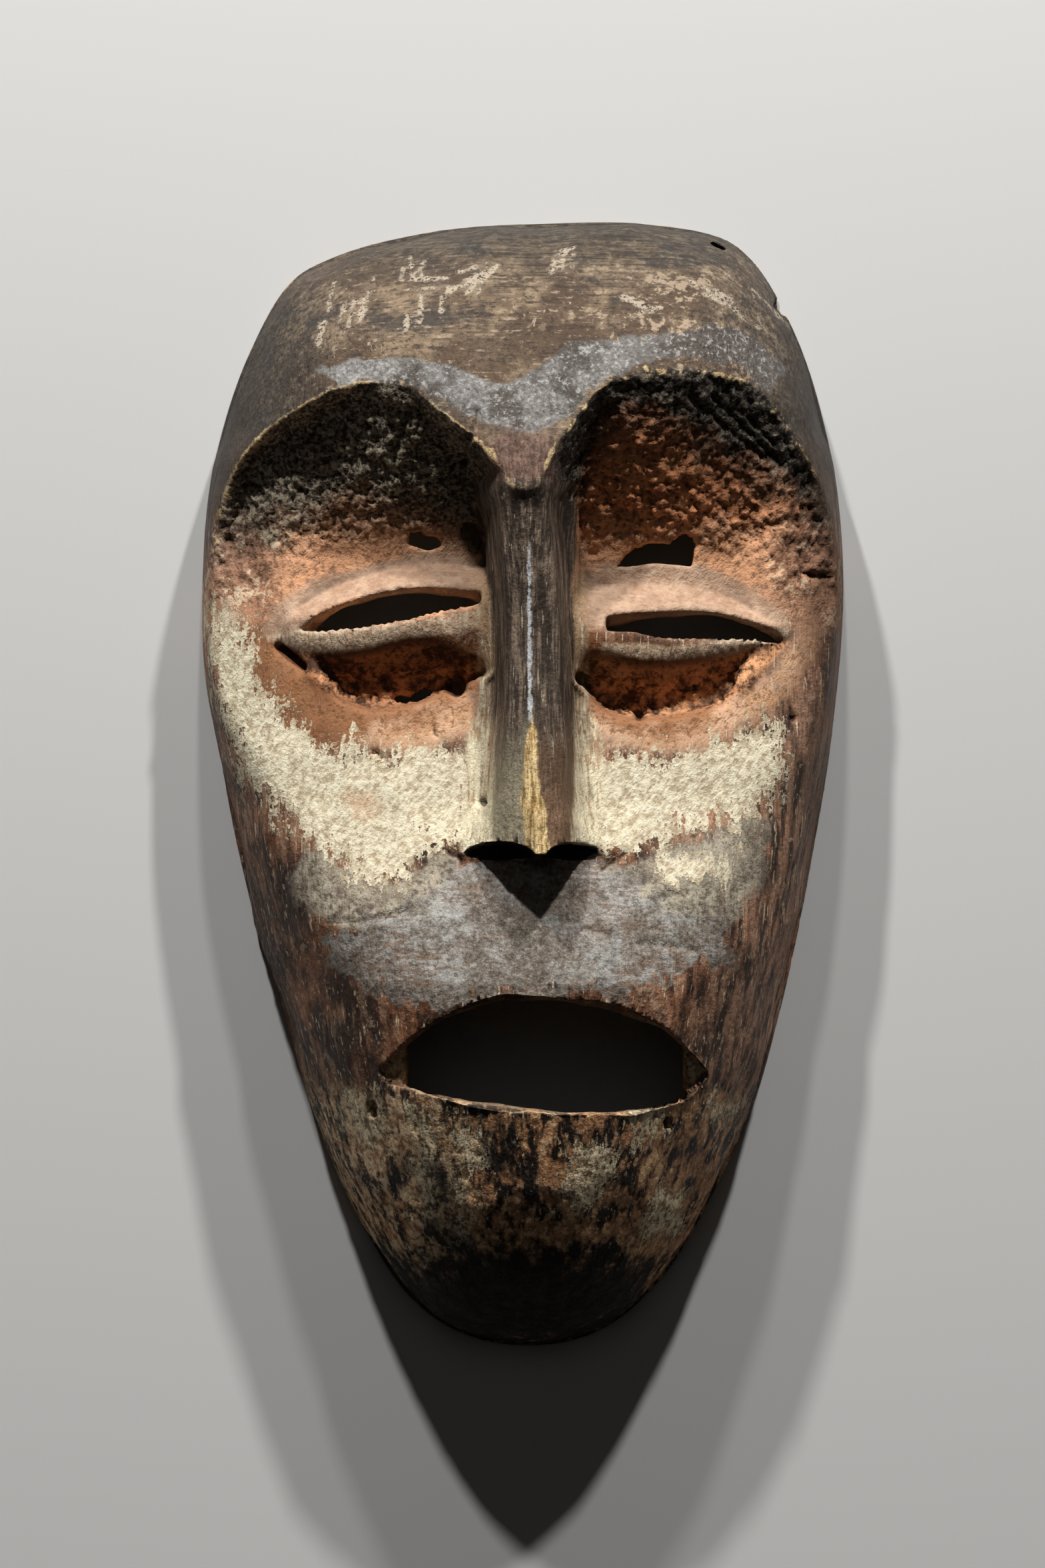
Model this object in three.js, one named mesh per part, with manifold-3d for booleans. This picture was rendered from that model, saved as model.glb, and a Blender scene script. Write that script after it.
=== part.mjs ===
// A carved wooden face mask of the Shi type, lying on its flat back rim with the face up.
// Millimetres. +Z points out of the face, +Y to the top of the head, +X to the right as one
// looks at the face. The origin is in the plane of the back rim, under the middle of the mask.
//
// The mask is one piece of wood, so the model follows the carver: a domed blank is hollowed from
// behind, the heart-shaped face is sunk under the two brows with the eyeballs left standing in
// their sockets, the nose is a wedge with a flat underside, and the eyes, the mouth and the
// places where the thin wood broke are cut right through.

import * as THREE from "three";
import { mergeVertices } from "three/addons/utils/BufferGeometryUtils.js";
import Module from "manifold-3d";

const wasm = await Module();
wasm.setup();

// The blank
const RIM_WIDTH = 10; // the flat back edge that the mask rests on
const WALL = 9; // thickness of the wood in the forehead, the lips and the chin
const CROWN_HEIGHT = 83; // height of the blank over the rim, halfway down
const CROWN_RISE = 8; // how much the forehead stands over that, and the chin falls short of it
const CROWN_REACH = 60;
const SIDE_POWER = 2.8; // how square the blank is: 2 is an ellipsoid
const FRONT_POWER = 2.3;

// The sunk face
const CHEEK_WALL = 9;
const SOCKET_WALL = 4.5; // the wood is thinnest behind the eye sockets
const EYE_HOLLOW = 9; // how far the hollow is deepened behind an eyeball
const EYE_HOLLOW_REACH = [23, 7];
const HOLLOW_ROUNDING = 4;
const CHEEK_FALL = 26; // how far the face falls from its middle line to the side edges
const FACE_HALF_WIDTH = 85;
const SOCKET_FLOOR = 44; // height of the deepest line of a socket, at SOCKET_Y
const SOCKET_Y = 62;
const SOCKET_SLOPE = 0.66; // rise of the socket floor from there to the brow
const TEMPLE_SLOPE = 0.32; // and the same near the temples
const TEMPLE_FALL = 17; // how far the socket floor falls towards the temple
const TEMPLE_START = 30; // from this distance from the nose
const TEMPLE_SPAN = 50;
const BAG_SLOPE = 2.4; // how steeply the pocket under an eyeball ends
const LID_BULGE = 2.5; // how far an eyeball stands over the sunk face
const LID_DROP = 16; // and its own height over the socket
const EYE_REACH = 64; // the eyeballs sink into the temples past this distance from the nose
const EYE_FADE = 1.2;
const EYE_MIDDLE_X = [-35, 45];
const BROW_DEPTH = 24; // the brow wall leans BROW_LEAN inwards over this height
const BROW_LEAN = 7;

// The nose
const NOSE_X = 3;
const NOSE_SIDE_X = 12; // the sockets reach this close to its middle
const NOSE_SIDE_SLOPE = 4;
const NOSE_TIP_Y = -19.3;
const NOSE_TOP_Y = 84; // inside the forehead, over the notch between the brows
const NOSE_ROOT = 6; // how deep its foot is set into the face
const NOSE_STEP = 4.4;
const RIDGE_HALF_WIDTH = 0.7;
const SHOULDER = 0.6; // share of the half width at which its front turns into its flanks
const FLANK = 0.78; // and at the hollow of the flanks
const NOSTRILS = [
  { x: -6.4, halfWidth: 9 },
  { x: 14, halfWidth: 7.2 },
];
const NOSTRIL_RISE = 3.3;
const NOSTRIL_HEIGHT = 80;
const NOSTRIL_HALF_DEPTH = 12;

// The cuts
const CUT_TOP = 130; // above everything
const CUT_BOTTOM = -20; // below everything
const SLIT_SLANT = 0.45; // the eye slits run down as they run in
const MOUTH_FRONT = 53; // the mouth narrows from this height to MOUTH_BACK
const MOUTH_BACK = 46;
const MOUTH_NARROWING = 0.88;
const NAIL_RADIUS = 1.3;
const CHIP_RADIUS = 3.2;
const CHIP_HEIGHT = 7;
const CHIP_STRETCH = 2.4;

// Fineness of the faces
const FACE_STEP = 4; // spacing of the columns on the sunk face
const CHEEK_STEP = 5.5; // and of its rows
const EYE_STEP = 2.2; // and of its rows across the eyes
const HOLLOW_STEP = 6;
const RINGS = 12; // of the blank, from its edge to its crown
const LAST_TURN = 0.02; // the last ring closes the crown with a small flat
const LENS_POINTS = 14;

const WOOD_BROWN = "#5a3a28";

// The outer edge, as [direction in degrees, distance from the origin]
const OUTLINE = [
  [-166, 78], [-150, 81], [-136, 88.3], [-122, 104.5], [-110, 125], [-103, 139], [-97, 146.8],
  [-90, 149.7], [-82, 147.2], [-74, 136.5], [-65, 120.5], [-53, 103.7], [-40, 90.5], [-24, 81.9],
  [-8, 79.6], [10, 83.8], [24, 92.9], [38, 107.8], [50, 125.3], [60, 142.5], [66, 152],
  [70, 154.9], [78, 152.7], [88, 149.5], [100, 149.2], [110, 149.2], [115, 147.2], [122, 136.7],
  [133, 119.8], [147, 101.5], [162, 88.7], [176, 80.5],
];

// The brow edge, from the left temple to the notch over the nose and on to the right temple
const BROW = [
  [-84.1, 51.9], [-80.2, 72.9], [-72, 88.5], [-59.3, 98.1], [-45.3, 104.5], [-31.4, 103.9],
  [-17.6, 94.3], [-5.6, 80.4], [-3.5, 75.1], [4, 75.1], [9.8, 89.1], [20.1, 102.4],
  [33.9, 108.3], [54.8, 107], [66.2, 99.4], [74.7, 86.3], [81.1, 71.8], [85, 55.5],
];

// A smooth curve through points [x, y], as a function of x. With a period it closes on itself.
function through(points, period = 0) {
  const n = points.length;
  const at = (i) => {
    if (!period) return points[THREE.MathUtils.clamp(i, 0, n - 1)];
    const turns = Math.floor(i / n);
    const [x, y] = points[i - turns * n];
    return [x + turns * period, y];
  };
  const slope = (i) => {
    const [x0, y0] = at(i - 1);
    const [x1, y1] = at(i + 1);
    return (y1 - y0) / (x1 - x0);
  };
  const first = points[0][0];
  const last = points[n - 1][0];
  return (x) => {
    const v = period
      ? first + THREE.MathUtils.euclideanModulo(x - first, period)
      : THREE.MathUtils.clamp(x, first, last);
    let i = period ? n - 1 : n - 2;
    while (i > 0 && at(i)[0] > v) i--;
    const [x0, y0] = at(i);
    const [x1, y1] = at(i + 1);
    const width = x1 - x0;
    const t = (v - x0) / width;
    return (
      y0 * (1 + 2 * t) * (1 - t) ** 2 +
      y1 * t * t * (3 - 2 * t) +
      width * t * (1 - t) * (slope(i) * (1 - t) - slope(i + 1) * t)
    );
  };
}

// Smooth minimum and maximum: the join is rounded over about k millimetres of height
const smoothMin = (a, b, k) => (a + b - Math.hypot(a - b, k)) / 2;
const smoothMax = (a, b, k) => (a + b + Math.hypot(a - b, k)) / 2;

const edgeDistance = through(OUTLINE, 360);
const crown = (y) => CROWN_HEIGHT + CROWN_RISE * Math.tanh(y / CROWN_REACH);

// The point of a dome that lies in a direction, at a turn from 0 at the top to 1 at the edge
function domePoint(direction, turn, inset, thickness) {
  const rise = Math.cos((turn * Math.PI) / 2) ** (2 / FRONT_POWER);
  const reach = Math.sin((turn * Math.PI) / 2) ** (2 / SIDE_POWER);
  const r = (edgeDistance(direction) - inset) * reach;
  const angle = THREE.MathUtils.degToRad(direction);
  const [x, y] = [r * Math.cos(angle), r * Math.sin(angle)];
  return new THREE.Vector3(x, y, turn < 1 ? (crown(y) - thickness) * rise : 0);
}

// Height of the blank over (x, y)
function blankHeight(x, y) {
  const direction = THREE.MathUtils.radToDeg(Math.atan2(y, x));
  const share = Math.min(Math.hypot(x, y) / edgeDistance(direction), 1);
  return crown(y) * (1 - share ** SIDE_POWER) ** (1 / FRONT_POWER);
}

// The curves that cross the face from side to side
const bagEdge = through([
  [-90, 66], [-75, 50], [-57, 29], [-40, 20.4], [-22, 24], [-10, 29], [2, 31], [14, 27], [22, 20],
  [30, 18], [45, 19.3], [56, 23], [70, 37], [90, 66],
]);
const lidTop = through([
  [-90, 43], [-80, 43], [-68, 47], [-53, 53.5], [-32, 61.1], [-18, 60.5], [3, 56], [17, 55.5],
  [38, 57.2], [52, 54.6], [66, 48], [78, 43], [90, 43],
]);
const slitLine = through([
  [-90, 40], [-58, 43], [-11, 47.5], [3, 43], [21, 39.5], [68, 41], [90, 40],
]);
const lidFoot = through([
  [-90, 37], [-80, 37.5], [-68, 36], [-49, 33.4], [-25, 37], [-12, 33.5], [3, 33], [21, 33.1],
  [31, 30.9], [52, 33.1], [69, 37.5], [80, 38], [90, 38],
]);

// The middle line of the face from the upper lip up to the brows
const faceLine = through([
  [-52, 74.5], [-38, 69.5], [-20, 64], [0, 59.5], [20, 56], [45, 54], [60, 55], [115, 75],
]);

// The nose, as functions of y
const noseMiddle = through([[-20, 2.4], [0, 3], [45, 2.5], [76, 0.3]]);
const noseRidge = through([[-20, 5.8], [-5, 3.5], [15, 2.1], [60, 1.6], [76, 0.3]]);
const noseHalfWidth = through([
  [-20, 18.2], [-12, 16.2], [0, 14.2], [20, 12.2], [40, 11], [60, 9], [76, 5],
]);
const noseHeight = through([
  [-20, 86], [0, 82], [20, 78.5], [40, 77.5], [60, 79.5], [76, 82.5], [84, 83],
]);

// How far its shoulders lie under the ridge, and the height of the hollow of the flanks as a share
const shoulderDrop = through([[-20, 9], [5, 5], [30, 2.6]]);
const flankRise = through([[-20, 0.28], [30, 0.42]]);

// The cuts through the wood. Each lens has an upper and a lower edge between two corners.
const LEFT_SLIT = {
  top: [[-58.4, 42.6], [-50.1, 47.3], [-36, 50.6], [-22, 50.9], [-10.8, 49.4]],
  foot: [[-10.8, 45.7], [-25.3, 43], [-39.5, 40.9], [-50, 41], [-58.4, 42.2]],
};
const RIGHT_SLIT = {
  top: [[22, 41.6], [38.4, 43.9], [51.7, 45], [63.2, 42.9], [69.4, 41.4]],
  foot: [[69.4, 40.9], [56.1, 37.9], [39, 35.8], [30, 36.6], [22, 36.8]],
};
const MOUTH = {
  top: [
    [-37.4, -74.6], [-25.3, -64.3], [-11.2, -57.9], [6.6, -56.3], [24.3, -59], [38.4, -65.2],
    [48.5, -76],
  ],
  foot: [[48.5, -77.4], [38.4, -83.2], [17.2, -85.9], [-11.2, -83.4], [-32.4, -78.4], [-37.4, -75.6]],
};
const BROKEN_HOLES = [
  [[-29.6, 66.4], [-25.3, 66.4], [-21.8, 64.6], [-21.4, 62.9], [-25.3, 61.4], [-29.4, 62.9]],
  [
    [24.6, 57], [29.6, 62], [35.8, 63], [42.9, 65.9], [45.9, 63.8], [44.8, 57.6], [35.8, 58.4],
    [28.7, 56.7],
  ],
  [[-36.5, 21], [-33, 23.8], [-28, 24.6], [-25, 23.5], [-25.5, 21.5], [-30, 20.6]],
];

// A nail hole near the top edge, from its mouth to where it comes out in the hollow
const NAIL_HOLE = [new THREE.Vector3(53.5, 147, 26), new THREE.Vector3(45, 125, 8)];

// Chips in the outer edge, as directions in degrees
const CHIPS = [61.2, -25.2, -31.9];

// The sunk face without its sockets
const faceHeight = (x, y) => faceLine(y) - CHEEK_FALL * Math.abs(x / FACE_HALF_WIDTH) ** 3;

// The floor of the sockets, which runs on under the eyeballs to the edge of the pockets below
function socketHeight(x, y) {
  const temple = Math.max(0, (Math.abs(x - NOSE_X) - TEMPLE_START) / TEMPLE_SPAN);
  const towardTemple = THREE.MathUtils.smoothstep(Math.abs(x - NOSE_X), 25, 70);
  const rise = THREE.MathUtils.lerp(SOCKET_SLOPE, TEMPLE_SLOPE, towardTemple);
  const steepness = THREE.MathUtils.clamp((70 - Math.abs(x)) / 12, 0.25, 1);
  return (
    SOCKET_FLOOR - TEMPLE_FALL * temple ** 2 +
    rise * Math.max(0, y - SOCKET_Y) +
    BAG_SLOPE * steepness * Math.max(0, bagEdge(x) - y)
  );
}

// The eyeball slopes up from the socket to the slit, and ends below in a narrow rounded lid
function eyeballHeight(x, y) {
  const over = y - slitLine(x);
  const drop = over > 0
    ? Math.min(over / (lidTop(x) - slitLine(x)), 1.5) ** 1.7
    : Math.min(over / (lidFoot(x) - slitLine(x)), 1.5) ** 4;
  const fade = EYE_FADE * Math.max(0, Math.abs(x - NOSE_X) - EYE_REACH);
  return faceHeight(x, y) + LID_BULGE - LID_DROP * drop - fade;
}

// All of it together. Beside the nose the socket floor climbs to the nose's foot.
function sunkHeight(x, y) {
  const beside = NOSE_SIDE_SLOPE * Math.max(0, NOSE_SIDE_X - Math.abs(x - NOSE_X));
  const socket = smoothMin(faceHeight(x, y), socketHeight(x, y) + beside, 1.5);
  return smoothMax(socket, eyeballHeight(x, y), 1);
}

// A closed body from rings of points: the sides join each ring to the next, and the ends are flat
function loft(rings) {
  const n = rings[0].length;
  const faces = [];
  for (let i = 0; i + 1 < rings.length; i++) {
    for (let j = 0; j < n; j++) {
      const a = i * n + j;
      const b = i * n + ((j + 1) % n);
      faces.push([a, b, b + n], [a, b + n, a + n]);
    }
  }
  const size = new THREE.Box3().setFromPoints(rings[0]).getSize(new THREE.Vector3());
  const thin = size.toArray().indexOf(Math.min(...size.toArray()));
  const flat = (p) => new THREE.Vector2(...p.toArray().filter((_, axis) => axis !== thin));
  const cap = (ring, first, turned) => {
    const contour = ring.map(flat);
    const sign = Math.sign(THREE.ShapeUtils.area(contour)) * (turned ? -1 : 1);
    for (const face of THREE.ShapeUtils.triangulateShape(contour.map((p) => p.clone()), [])) {
      const way = Math.sign(THREE.ShapeUtils.area(face.map((k) => contour[k])));
      const [a, b, c] = face.map((k) => k + first);
      faces.push(way === sign ? [a, b, c] : [a, c, b]);
    }
  };
  cap(rings[0], 0, true);
  cap(rings[rings.length - 1], (rings.length - 1) * n, false);
  const corners = rings.flat();
  const volume = faces.reduce((sum, [a, b, c]) => {
    return sum + corners[a].dot(new THREE.Vector3().crossVectors(corners[b], corners[c]));
  }, 0);
  if (volume < 0) faces.forEach((face) => face.reverse());
  return new THREE.BufferGeometry()
    .setAttribute("position", new THREE.Float32BufferAttribute(corners.flatMap((p) => p.toArray()), 3))
    .setIndex(faces.flat());
}

// Booleans between closed geometries
function asSolid(geometry) {
  const bare = geometry.clone().deleteAttribute("normal").deleteAttribute("uv");
  const merged = mergeVertices(bare, 1e-4);
  return new wasm.Manifold(
    new wasm.Mesh({
      numProp: 3,
      vertProperties: new Float32Array(merged.attributes.position.array),
      triVerts: new Uint32Array(merged.index.array),
    }),
  );
}

function asGeometry(solid) {
  const { vertProperties, triVerts } = solid.getMesh();
  const geometry = new THREE.BufferGeometry()
    .setAttribute("position", new THREE.BufferAttribute(vertProperties, 3))
    .setIndex(new THREE.BufferAttribute(triVerts, 1))
    .toNonIndexed();
  geometry.computeVertexNormals();
  return geometry;
}

// The directions of the blank's meridians: each point of the outline, and halfway to the next
const directions = OUTLINE.flatMap(([direction], i) => {
  const next = i + 1 < OUTLINE.length ? OUTLINE[i + 1][0] : OUTLINE[0][0] + 360;
  return [direction, (direction + next) / 2];
});

// The domed blank
function blank() {
  const rings = [];
  for (let i = 0; i < RINGS; i++) {
    rings.push(directions.map((d) => domePoint(d, 1 - i / RINGS, 0, 0)));
  }
  rings.push(directions.map((d) => domePoint(d, LAST_TURN, 0, 0)));
  return loft(rings);
}

// A body bounded by a surface over a grid of rows and columns, and closed off at another height
function underOrOver({ xs, ys, height, closeAt }) {
  return loft(
    ys.map((y) => [
      ...xs.map((x) => new THREE.Vector3(x, y, height(x, y))),
      new THREE.Vector3(xs[xs.length - 1], y, closeAt),
      new THREE.Vector3(xs[0], y, closeAt),
    ]),
  );
}

// Numbers from one value to another, about a step apart
function spread(from, to, step) {
  const count = Math.round((to - from) / step);
  return Array.from({ length: count + 1 }, (_, i) => from + ((to - from) * i) / count);
}

// What the adze took out behind. It keeps a wall under the blank, under the face and under the
// sockets, and goes a little deeper behind each eyeball.
function hollow() {
  const inside = [directions.map((d) => domePoint(d, 1, RIM_WIDTH, WALL).setZ(CUT_BOTTOM))];
  for (let i = 0; i < RINGS; i++) {
    inside.push(directions.map((d) => domePoint(d, 1 - i / RINGS, RIM_WIDTH, WALL)));
  }
  inside.push(directions.map((d) => domePoint(d, LAST_TURN, RIM_WIDTH, WALL)));
  const [reachX, reachY] = EYE_HOLLOW_REACH;
  const height = (x, y) => {
    const middle = EYE_MIDDLE_X[x < NOSE_X ? 0 : 1];
    const off = ((x - middle) / reachX) ** 2 + ((y - slitLine(x)) / reachY) ** 2;
    const cheek = faceHeight(x, y) - CHEEK_WALL;
    const socket = socketHeight(x, y) - SOCKET_WALL;
    return smoothMin(cheek, socket, HOLLOW_ROUNDING) + EYE_HOLLOW * Math.exp(-off);
  };
  const behindFace = underOrOver({
    xs: spread(-88, 88, HOLLOW_STEP),
    ys: [-162, -50, ...spread(-40, 10, 10), ...spread(16, 66, 5), ...spread(76, 126, 10), 162],
    height,
    closeAt: 2 * CUT_BOTTOM,
  });
  return asSolid(loft(inside)).intersect(asSolid(behindFace));
}

// What was cut away over the sunk face, out to the brow edge
function overFace() {
  const rows = [
    ...spread(-68, 14 - CHEEK_STEP, CHEEK_STEP),
    ...spread(14, 66, EYE_STEP),
    ...spread(66 + CHEEK_STEP, 114, CHEEK_STEP),
  ];
  return asSolid(
    underOrOver({ xs: spread(-94, 94, FACE_STEP), ys: rows, height: sunkHeight, closeAt: CUT_TOP }),
  );
}

// The prism inside the brow edge. Below the edge its wall leans in, as the brow wall does.
function insideBrow() {
  const brow = new THREE.SplineCurve(BROW.map(([x, y]) => new THREE.Vector2(x, y)));
  const points = brow.getPoints(BROW.length * 3);
  const lean = points.map((_, i) => {
    const before = points[Math.max(i - 1, 0)];
    const after = points[Math.min(i + 1, points.length - 1)];
    const along = after.clone().sub(before).normalize();
    return new THREE.Vector2(along.y, -along.x).multiplyScalar(BROW_LEAN);
  });
  const outside = [[98, 40], [98, -84], [-98, -84], [-98, 40]];
  for (const [x, y] of outside) {
    points.push(new THREE.Vector2(x, y));
    lean.push(new THREE.Vector2());
  }
  const edge = points.map((p) => blankHeight(p.x, p.y));
  const ring = (share, height) =>
    points.map((p, i) => {
      const q = p.clone().addScaledVector(lean[i], share);
      return new THREE.Vector3(q.x, q.y, height(i));
    });
  return asSolid(
    loft([
      ring(1, () => CUT_BOTTOM),
      ring(1, (i) => edge[i] - BROW_DEPTH),
      ring(0, (i) => edge[i]),
      ring(0, () => CUT_TOP),
    ]),
  );
}

// The nose: a wedge with a ridge, cut square below
function nose() {
  const rings = [];
  for (const y of spread(NOSE_TIP_Y, NOSE_TOP_Y, NOSE_STEP)) {
    const [middle, w, top] = [noseMiddle(y), noseHalfWidth(y), noseHeight(y)];
    const foot = faceHeight(middle, y);
    const flank = foot + flankRise(y) * (top - foot);
    const half = (side) => [
      [middle + side * w, foot - NOSE_ROOT],
      [middle + side * w, foot + 1],
      [middle + side * w * FLANK, flank],
      [middle + side * w * SHOULDER, top - shoulderDrop(y)],
      [noseRidge(y) + side * RIDGE_HALF_WIDTH, top],
    ];
    const section = [...half(1), ...half(-1).reverse()];
    rings.push(section.map(([x, z]) => new THREE.Vector3(x, y, z)));
  }
  return loft(rings);
}

const nostril = ({ x, halfWidth }) =>
  new THREE.SphereGeometry(1, 14, 10)
    .scale(halfWidth, NOSTRIL_RISE, NOSTRIL_HALF_DEPTH)
    .translate(x, NOSE_TIP_Y, NOSTRIL_HEIGHT);

// The outline of a lens-shaped cut
function lens({ top, foot }) {
  const along = (points) => new THREE.SplineCurve(points.map(([x, y]) => new THREE.Vector2(x, y)));
  return [...along(top).getPoints(LENS_POINTS), ...along(foot).getPoints(LENS_POINTS)];
}

// A cut along an outline, from above the wood to below it
function slit(shape) {
  const outline = lens(shape);
  const middle = outline[LENS_POINTS / 2];
  const surface = faceHeight(middle.x, middle.y);
  const ring = (z) =>
    outline.map((p) => new THREE.Vector3(p.x, p.y + SLIT_SLANT * (z - surface), z));
  return loft([ring(CUT_BOTTOM), ring(CUT_TOP)]);
}

function mouth() {
  const outline = lens(MOUTH);
  const middle = new THREE.Box2().setFromPoints(outline).getCenter(new THREE.Vector2());
  const ring = (z, share) =>
    outline.map((p) => new THREE.Vector3(middle.x + share * (p.x - middle.x), p.y, z));
  return loft([
    ring(CUT_BOTTOM, MOUTH_NARROWING),
    ring(MOUTH_BACK, MOUTH_NARROWING),
    ring(MOUTH_FRONT, 1),
    ring(CUT_TOP, 1),
  ]);
}

function brokenHole(outline) {
  const ring = (z) => outline.map(([x, y]) => new THREE.Vector3(x, y, z));
  return loft([ring(CUT_BOTTOM), ring(CUT_TOP)]);
}

function nailHole() {
  const [from, to] = NAIL_HOLE;
  const along = to.clone().sub(from);
  const turn = new THREE.Quaternion().setFromUnitVectors(
    new THREE.Vector3(0, 1, 0),
    along.clone().normalize(),
  );
  return new THREE.CylinderGeometry(NAIL_RADIUS, NAIL_RADIUS, along.length(), 8)
    .applyQuaternion(turn)
    .translate(...from.clone().add(to).multiplyScalar(0.5));
}

function chip(direction) {
  const { x, y } = domePoint(direction, 1, -0.55 * CHIP_RADIUS, 0);
  return new THREE.DodecahedronGeometry(CHIP_RADIUS)
    .scale(1, 1, CHIP_STRETCH)
    .translate(x, y, CHIP_HEIGHT);
}

let carved = asSolid(blank())
  .subtract(overFace().intersect(insideBrow()))
  .add(asSolid(nose()))
  .subtract(hollow());
const cuts = [
  ...NOSTRILS.map(nostril),
  slit(LEFT_SLIT),
  slit(RIGHT_SLIT),
  mouth(),
  ...BROKEN_HOLES.map(brokenHole),
  nailHole(),
  ...CHIPS.map(chip),
];
for (const cut of cuts) carved = carved.subtract(asSolid(cut));

const mask = new THREE.Mesh(
  asGeometry(carved),
  new THREE.MeshStandardMaterial({ color: WOOD_BROWN, roughness: 0.6, metalness: 0 }),
);
mask.name = "carved_face_mask";

const part = new THREE.Group();
part.add(mask);

export default part;
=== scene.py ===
# %% [markdown]
# # A carved wooden face mask
# The real mask is one block of wood: a dome, hollowed behind, with the face sunk under two brows
# and the eyes, the mouth and a few broken places cut right through. It lies on its back rim.
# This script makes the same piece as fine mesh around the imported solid, then gives it tool marks,
# crust and grain with a Geometry Nodes tree, and one painted and worn wood material.

# %% Load the frame
import math

import bpy
import numpy as np
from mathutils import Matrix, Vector


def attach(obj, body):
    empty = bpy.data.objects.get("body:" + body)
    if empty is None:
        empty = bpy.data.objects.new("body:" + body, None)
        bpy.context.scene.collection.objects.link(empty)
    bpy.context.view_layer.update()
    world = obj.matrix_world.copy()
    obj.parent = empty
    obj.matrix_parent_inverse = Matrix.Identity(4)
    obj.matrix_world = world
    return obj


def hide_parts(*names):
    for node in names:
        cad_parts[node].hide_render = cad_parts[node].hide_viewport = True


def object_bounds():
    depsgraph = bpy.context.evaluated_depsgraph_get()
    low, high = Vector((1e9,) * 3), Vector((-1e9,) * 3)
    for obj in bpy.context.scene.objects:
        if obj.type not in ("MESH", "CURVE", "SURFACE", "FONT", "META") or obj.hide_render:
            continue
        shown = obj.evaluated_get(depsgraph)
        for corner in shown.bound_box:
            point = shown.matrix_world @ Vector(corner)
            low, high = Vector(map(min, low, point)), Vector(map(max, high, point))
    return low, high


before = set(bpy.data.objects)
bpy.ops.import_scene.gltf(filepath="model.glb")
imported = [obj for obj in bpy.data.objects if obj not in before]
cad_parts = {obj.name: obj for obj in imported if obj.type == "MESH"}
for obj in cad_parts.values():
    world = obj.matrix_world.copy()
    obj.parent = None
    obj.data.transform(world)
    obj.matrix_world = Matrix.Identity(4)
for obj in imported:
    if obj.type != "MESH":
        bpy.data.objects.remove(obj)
cad_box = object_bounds()
print("CAD box", cad_box)

# %% [markdown]
# ## Sizes
# The sizes are those of the solid, in millimetres, so both models have the same forms. Curves that
# were found, such as the outer edge and the brows, are a few points with a smooth curve
# through them.

# %% Sizes of the blank and the face
MM = 0.001

RIM_WIDTH = 10  # the flat back edge that the mask rests on
WALL = 9
CROWN_HEIGHT = 83
CROWN_RISE = 8
CROWN_REACH = 60
SIDE_POWER = 2.8
FRONT_POWER = 2.3

CHEEK_WALL = 9
SOCKET_WALL = 4.5
EYE_HOLLOW = 10.5
EYE_HOLLOW_REACH = (25, 7)
EYE_MIDDLE_X = (-32, 43)
CHEEK_FALL = 26
CHEEK_CURVE = 3
FACE_HALF_WIDTH = 85
SOCKET_FLOOR = 44
SOCKET_Y = 62
SOCKET_SLOPE = 0.66
TEMPLE_SLOPE = 0.32
TEMPLE_FALL = 17
TEMPLE_START = 30
TEMPLE_SPAN = 50
SIDE_SPAN = (48, 74)  # how far from the nose the pocket's wall gets flatter
RISE_SPAN = (25, 70)  # and the socket's rise too
SOCKET_ROUNDING = 8
BAG_SLOPE = 7
HOLLOW_BAG_SLOPE = 2
SIDE_SLOPE = 0.6
LID_BULGE = 2.5
LID_DROP = 16
LID_CURVE = 1.7
LID_TUCK = 3
TUCK_CURVE = 3
UNDER_LID_SLOPE = 1.25
EYE_REACH = 64
EYE_FADE = 1.2
BROW_DEPTH = 24
BROW_LEAN = 7
BROW_LEAN_FROM = 30  # the wall starts to lean here, and leans in full 25 mm further up
BROW_LEAN_OVER = 25
EDGE_ROUNDING = 1.4
JAW_ROUNDING = 9  # added where the face runs out into the jaws
JAW_FADE = (-15, 30)

# Roundings of the edges and fillets where two cuts meet.
FACE_FILLET = 2.5
RIM_ROUNDING = 1.2
SOCKET_FILLET = 1.5
LID_FILLET = 1
NOSE_EDGE = 1.6
CUT_EDGE = 0.5
SLIT_EDGE = 0.6
MOUTH_EDGE = 0.9
THIN_EDGE = 0.4

# How far the cuts wander from their lines: broken fibres, and the unsteady hand.
BROW_RAGGED = 0.6
BROW_WOBBLE = 0.5
SLIT_RAGGED = 0.35
MOUTH_WOBBLE = 0.4
HOLE_RAGGED = 0.5

NOSE_X = 3
NOSE_SIDE_X = 12
NOSE_SIDE_SLOPE = 4
NOSE_TIP_Y = -19.3
NOSE_TOP_Y = 84

OUTLINE = [
    (-166, 78), (-150, 81), (-136, 88.3), (-122, 104.5), (-110, 125), (-103, 139), (-97, 146.8),
    (-90, 149.7), (-82, 147.2), (-74, 136.5), (-65, 120.5), (-53, 103.7), (-40, 90.5), (-24, 81.9),
    (-8, 79.6), (10, 83.8), (24, 92.9), (38, 107.8), (50, 125.3), (60, 142.5), (66, 152),
    (70, 154.9), (78, 152.7), (88, 149.5), (100, 149.2), (110, 149.2), (115, 147.2), (122, 136.7),
    (133, 119.8), (147, 101.5), (162, 88.7), (176, 80.5),
]
BROW = [
    (-84.1, 51.9), (-80.2, 72.9), (-72, 88.5), (-59.3, 98.1), (-45.3, 104.5), (-31.4, 103.9),
    (-17.6, 94.3), (-5.6, 82.5), (-3.8, 77.6), (4.2, 77.6), (9.8, 89.1), (20.1, 102.4),
    (33.9, 108.3), (54.8, 107), (66.2, 99.4), (74.7, 86.3), (81.1, 71.8), (85, 55.5),
]


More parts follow.
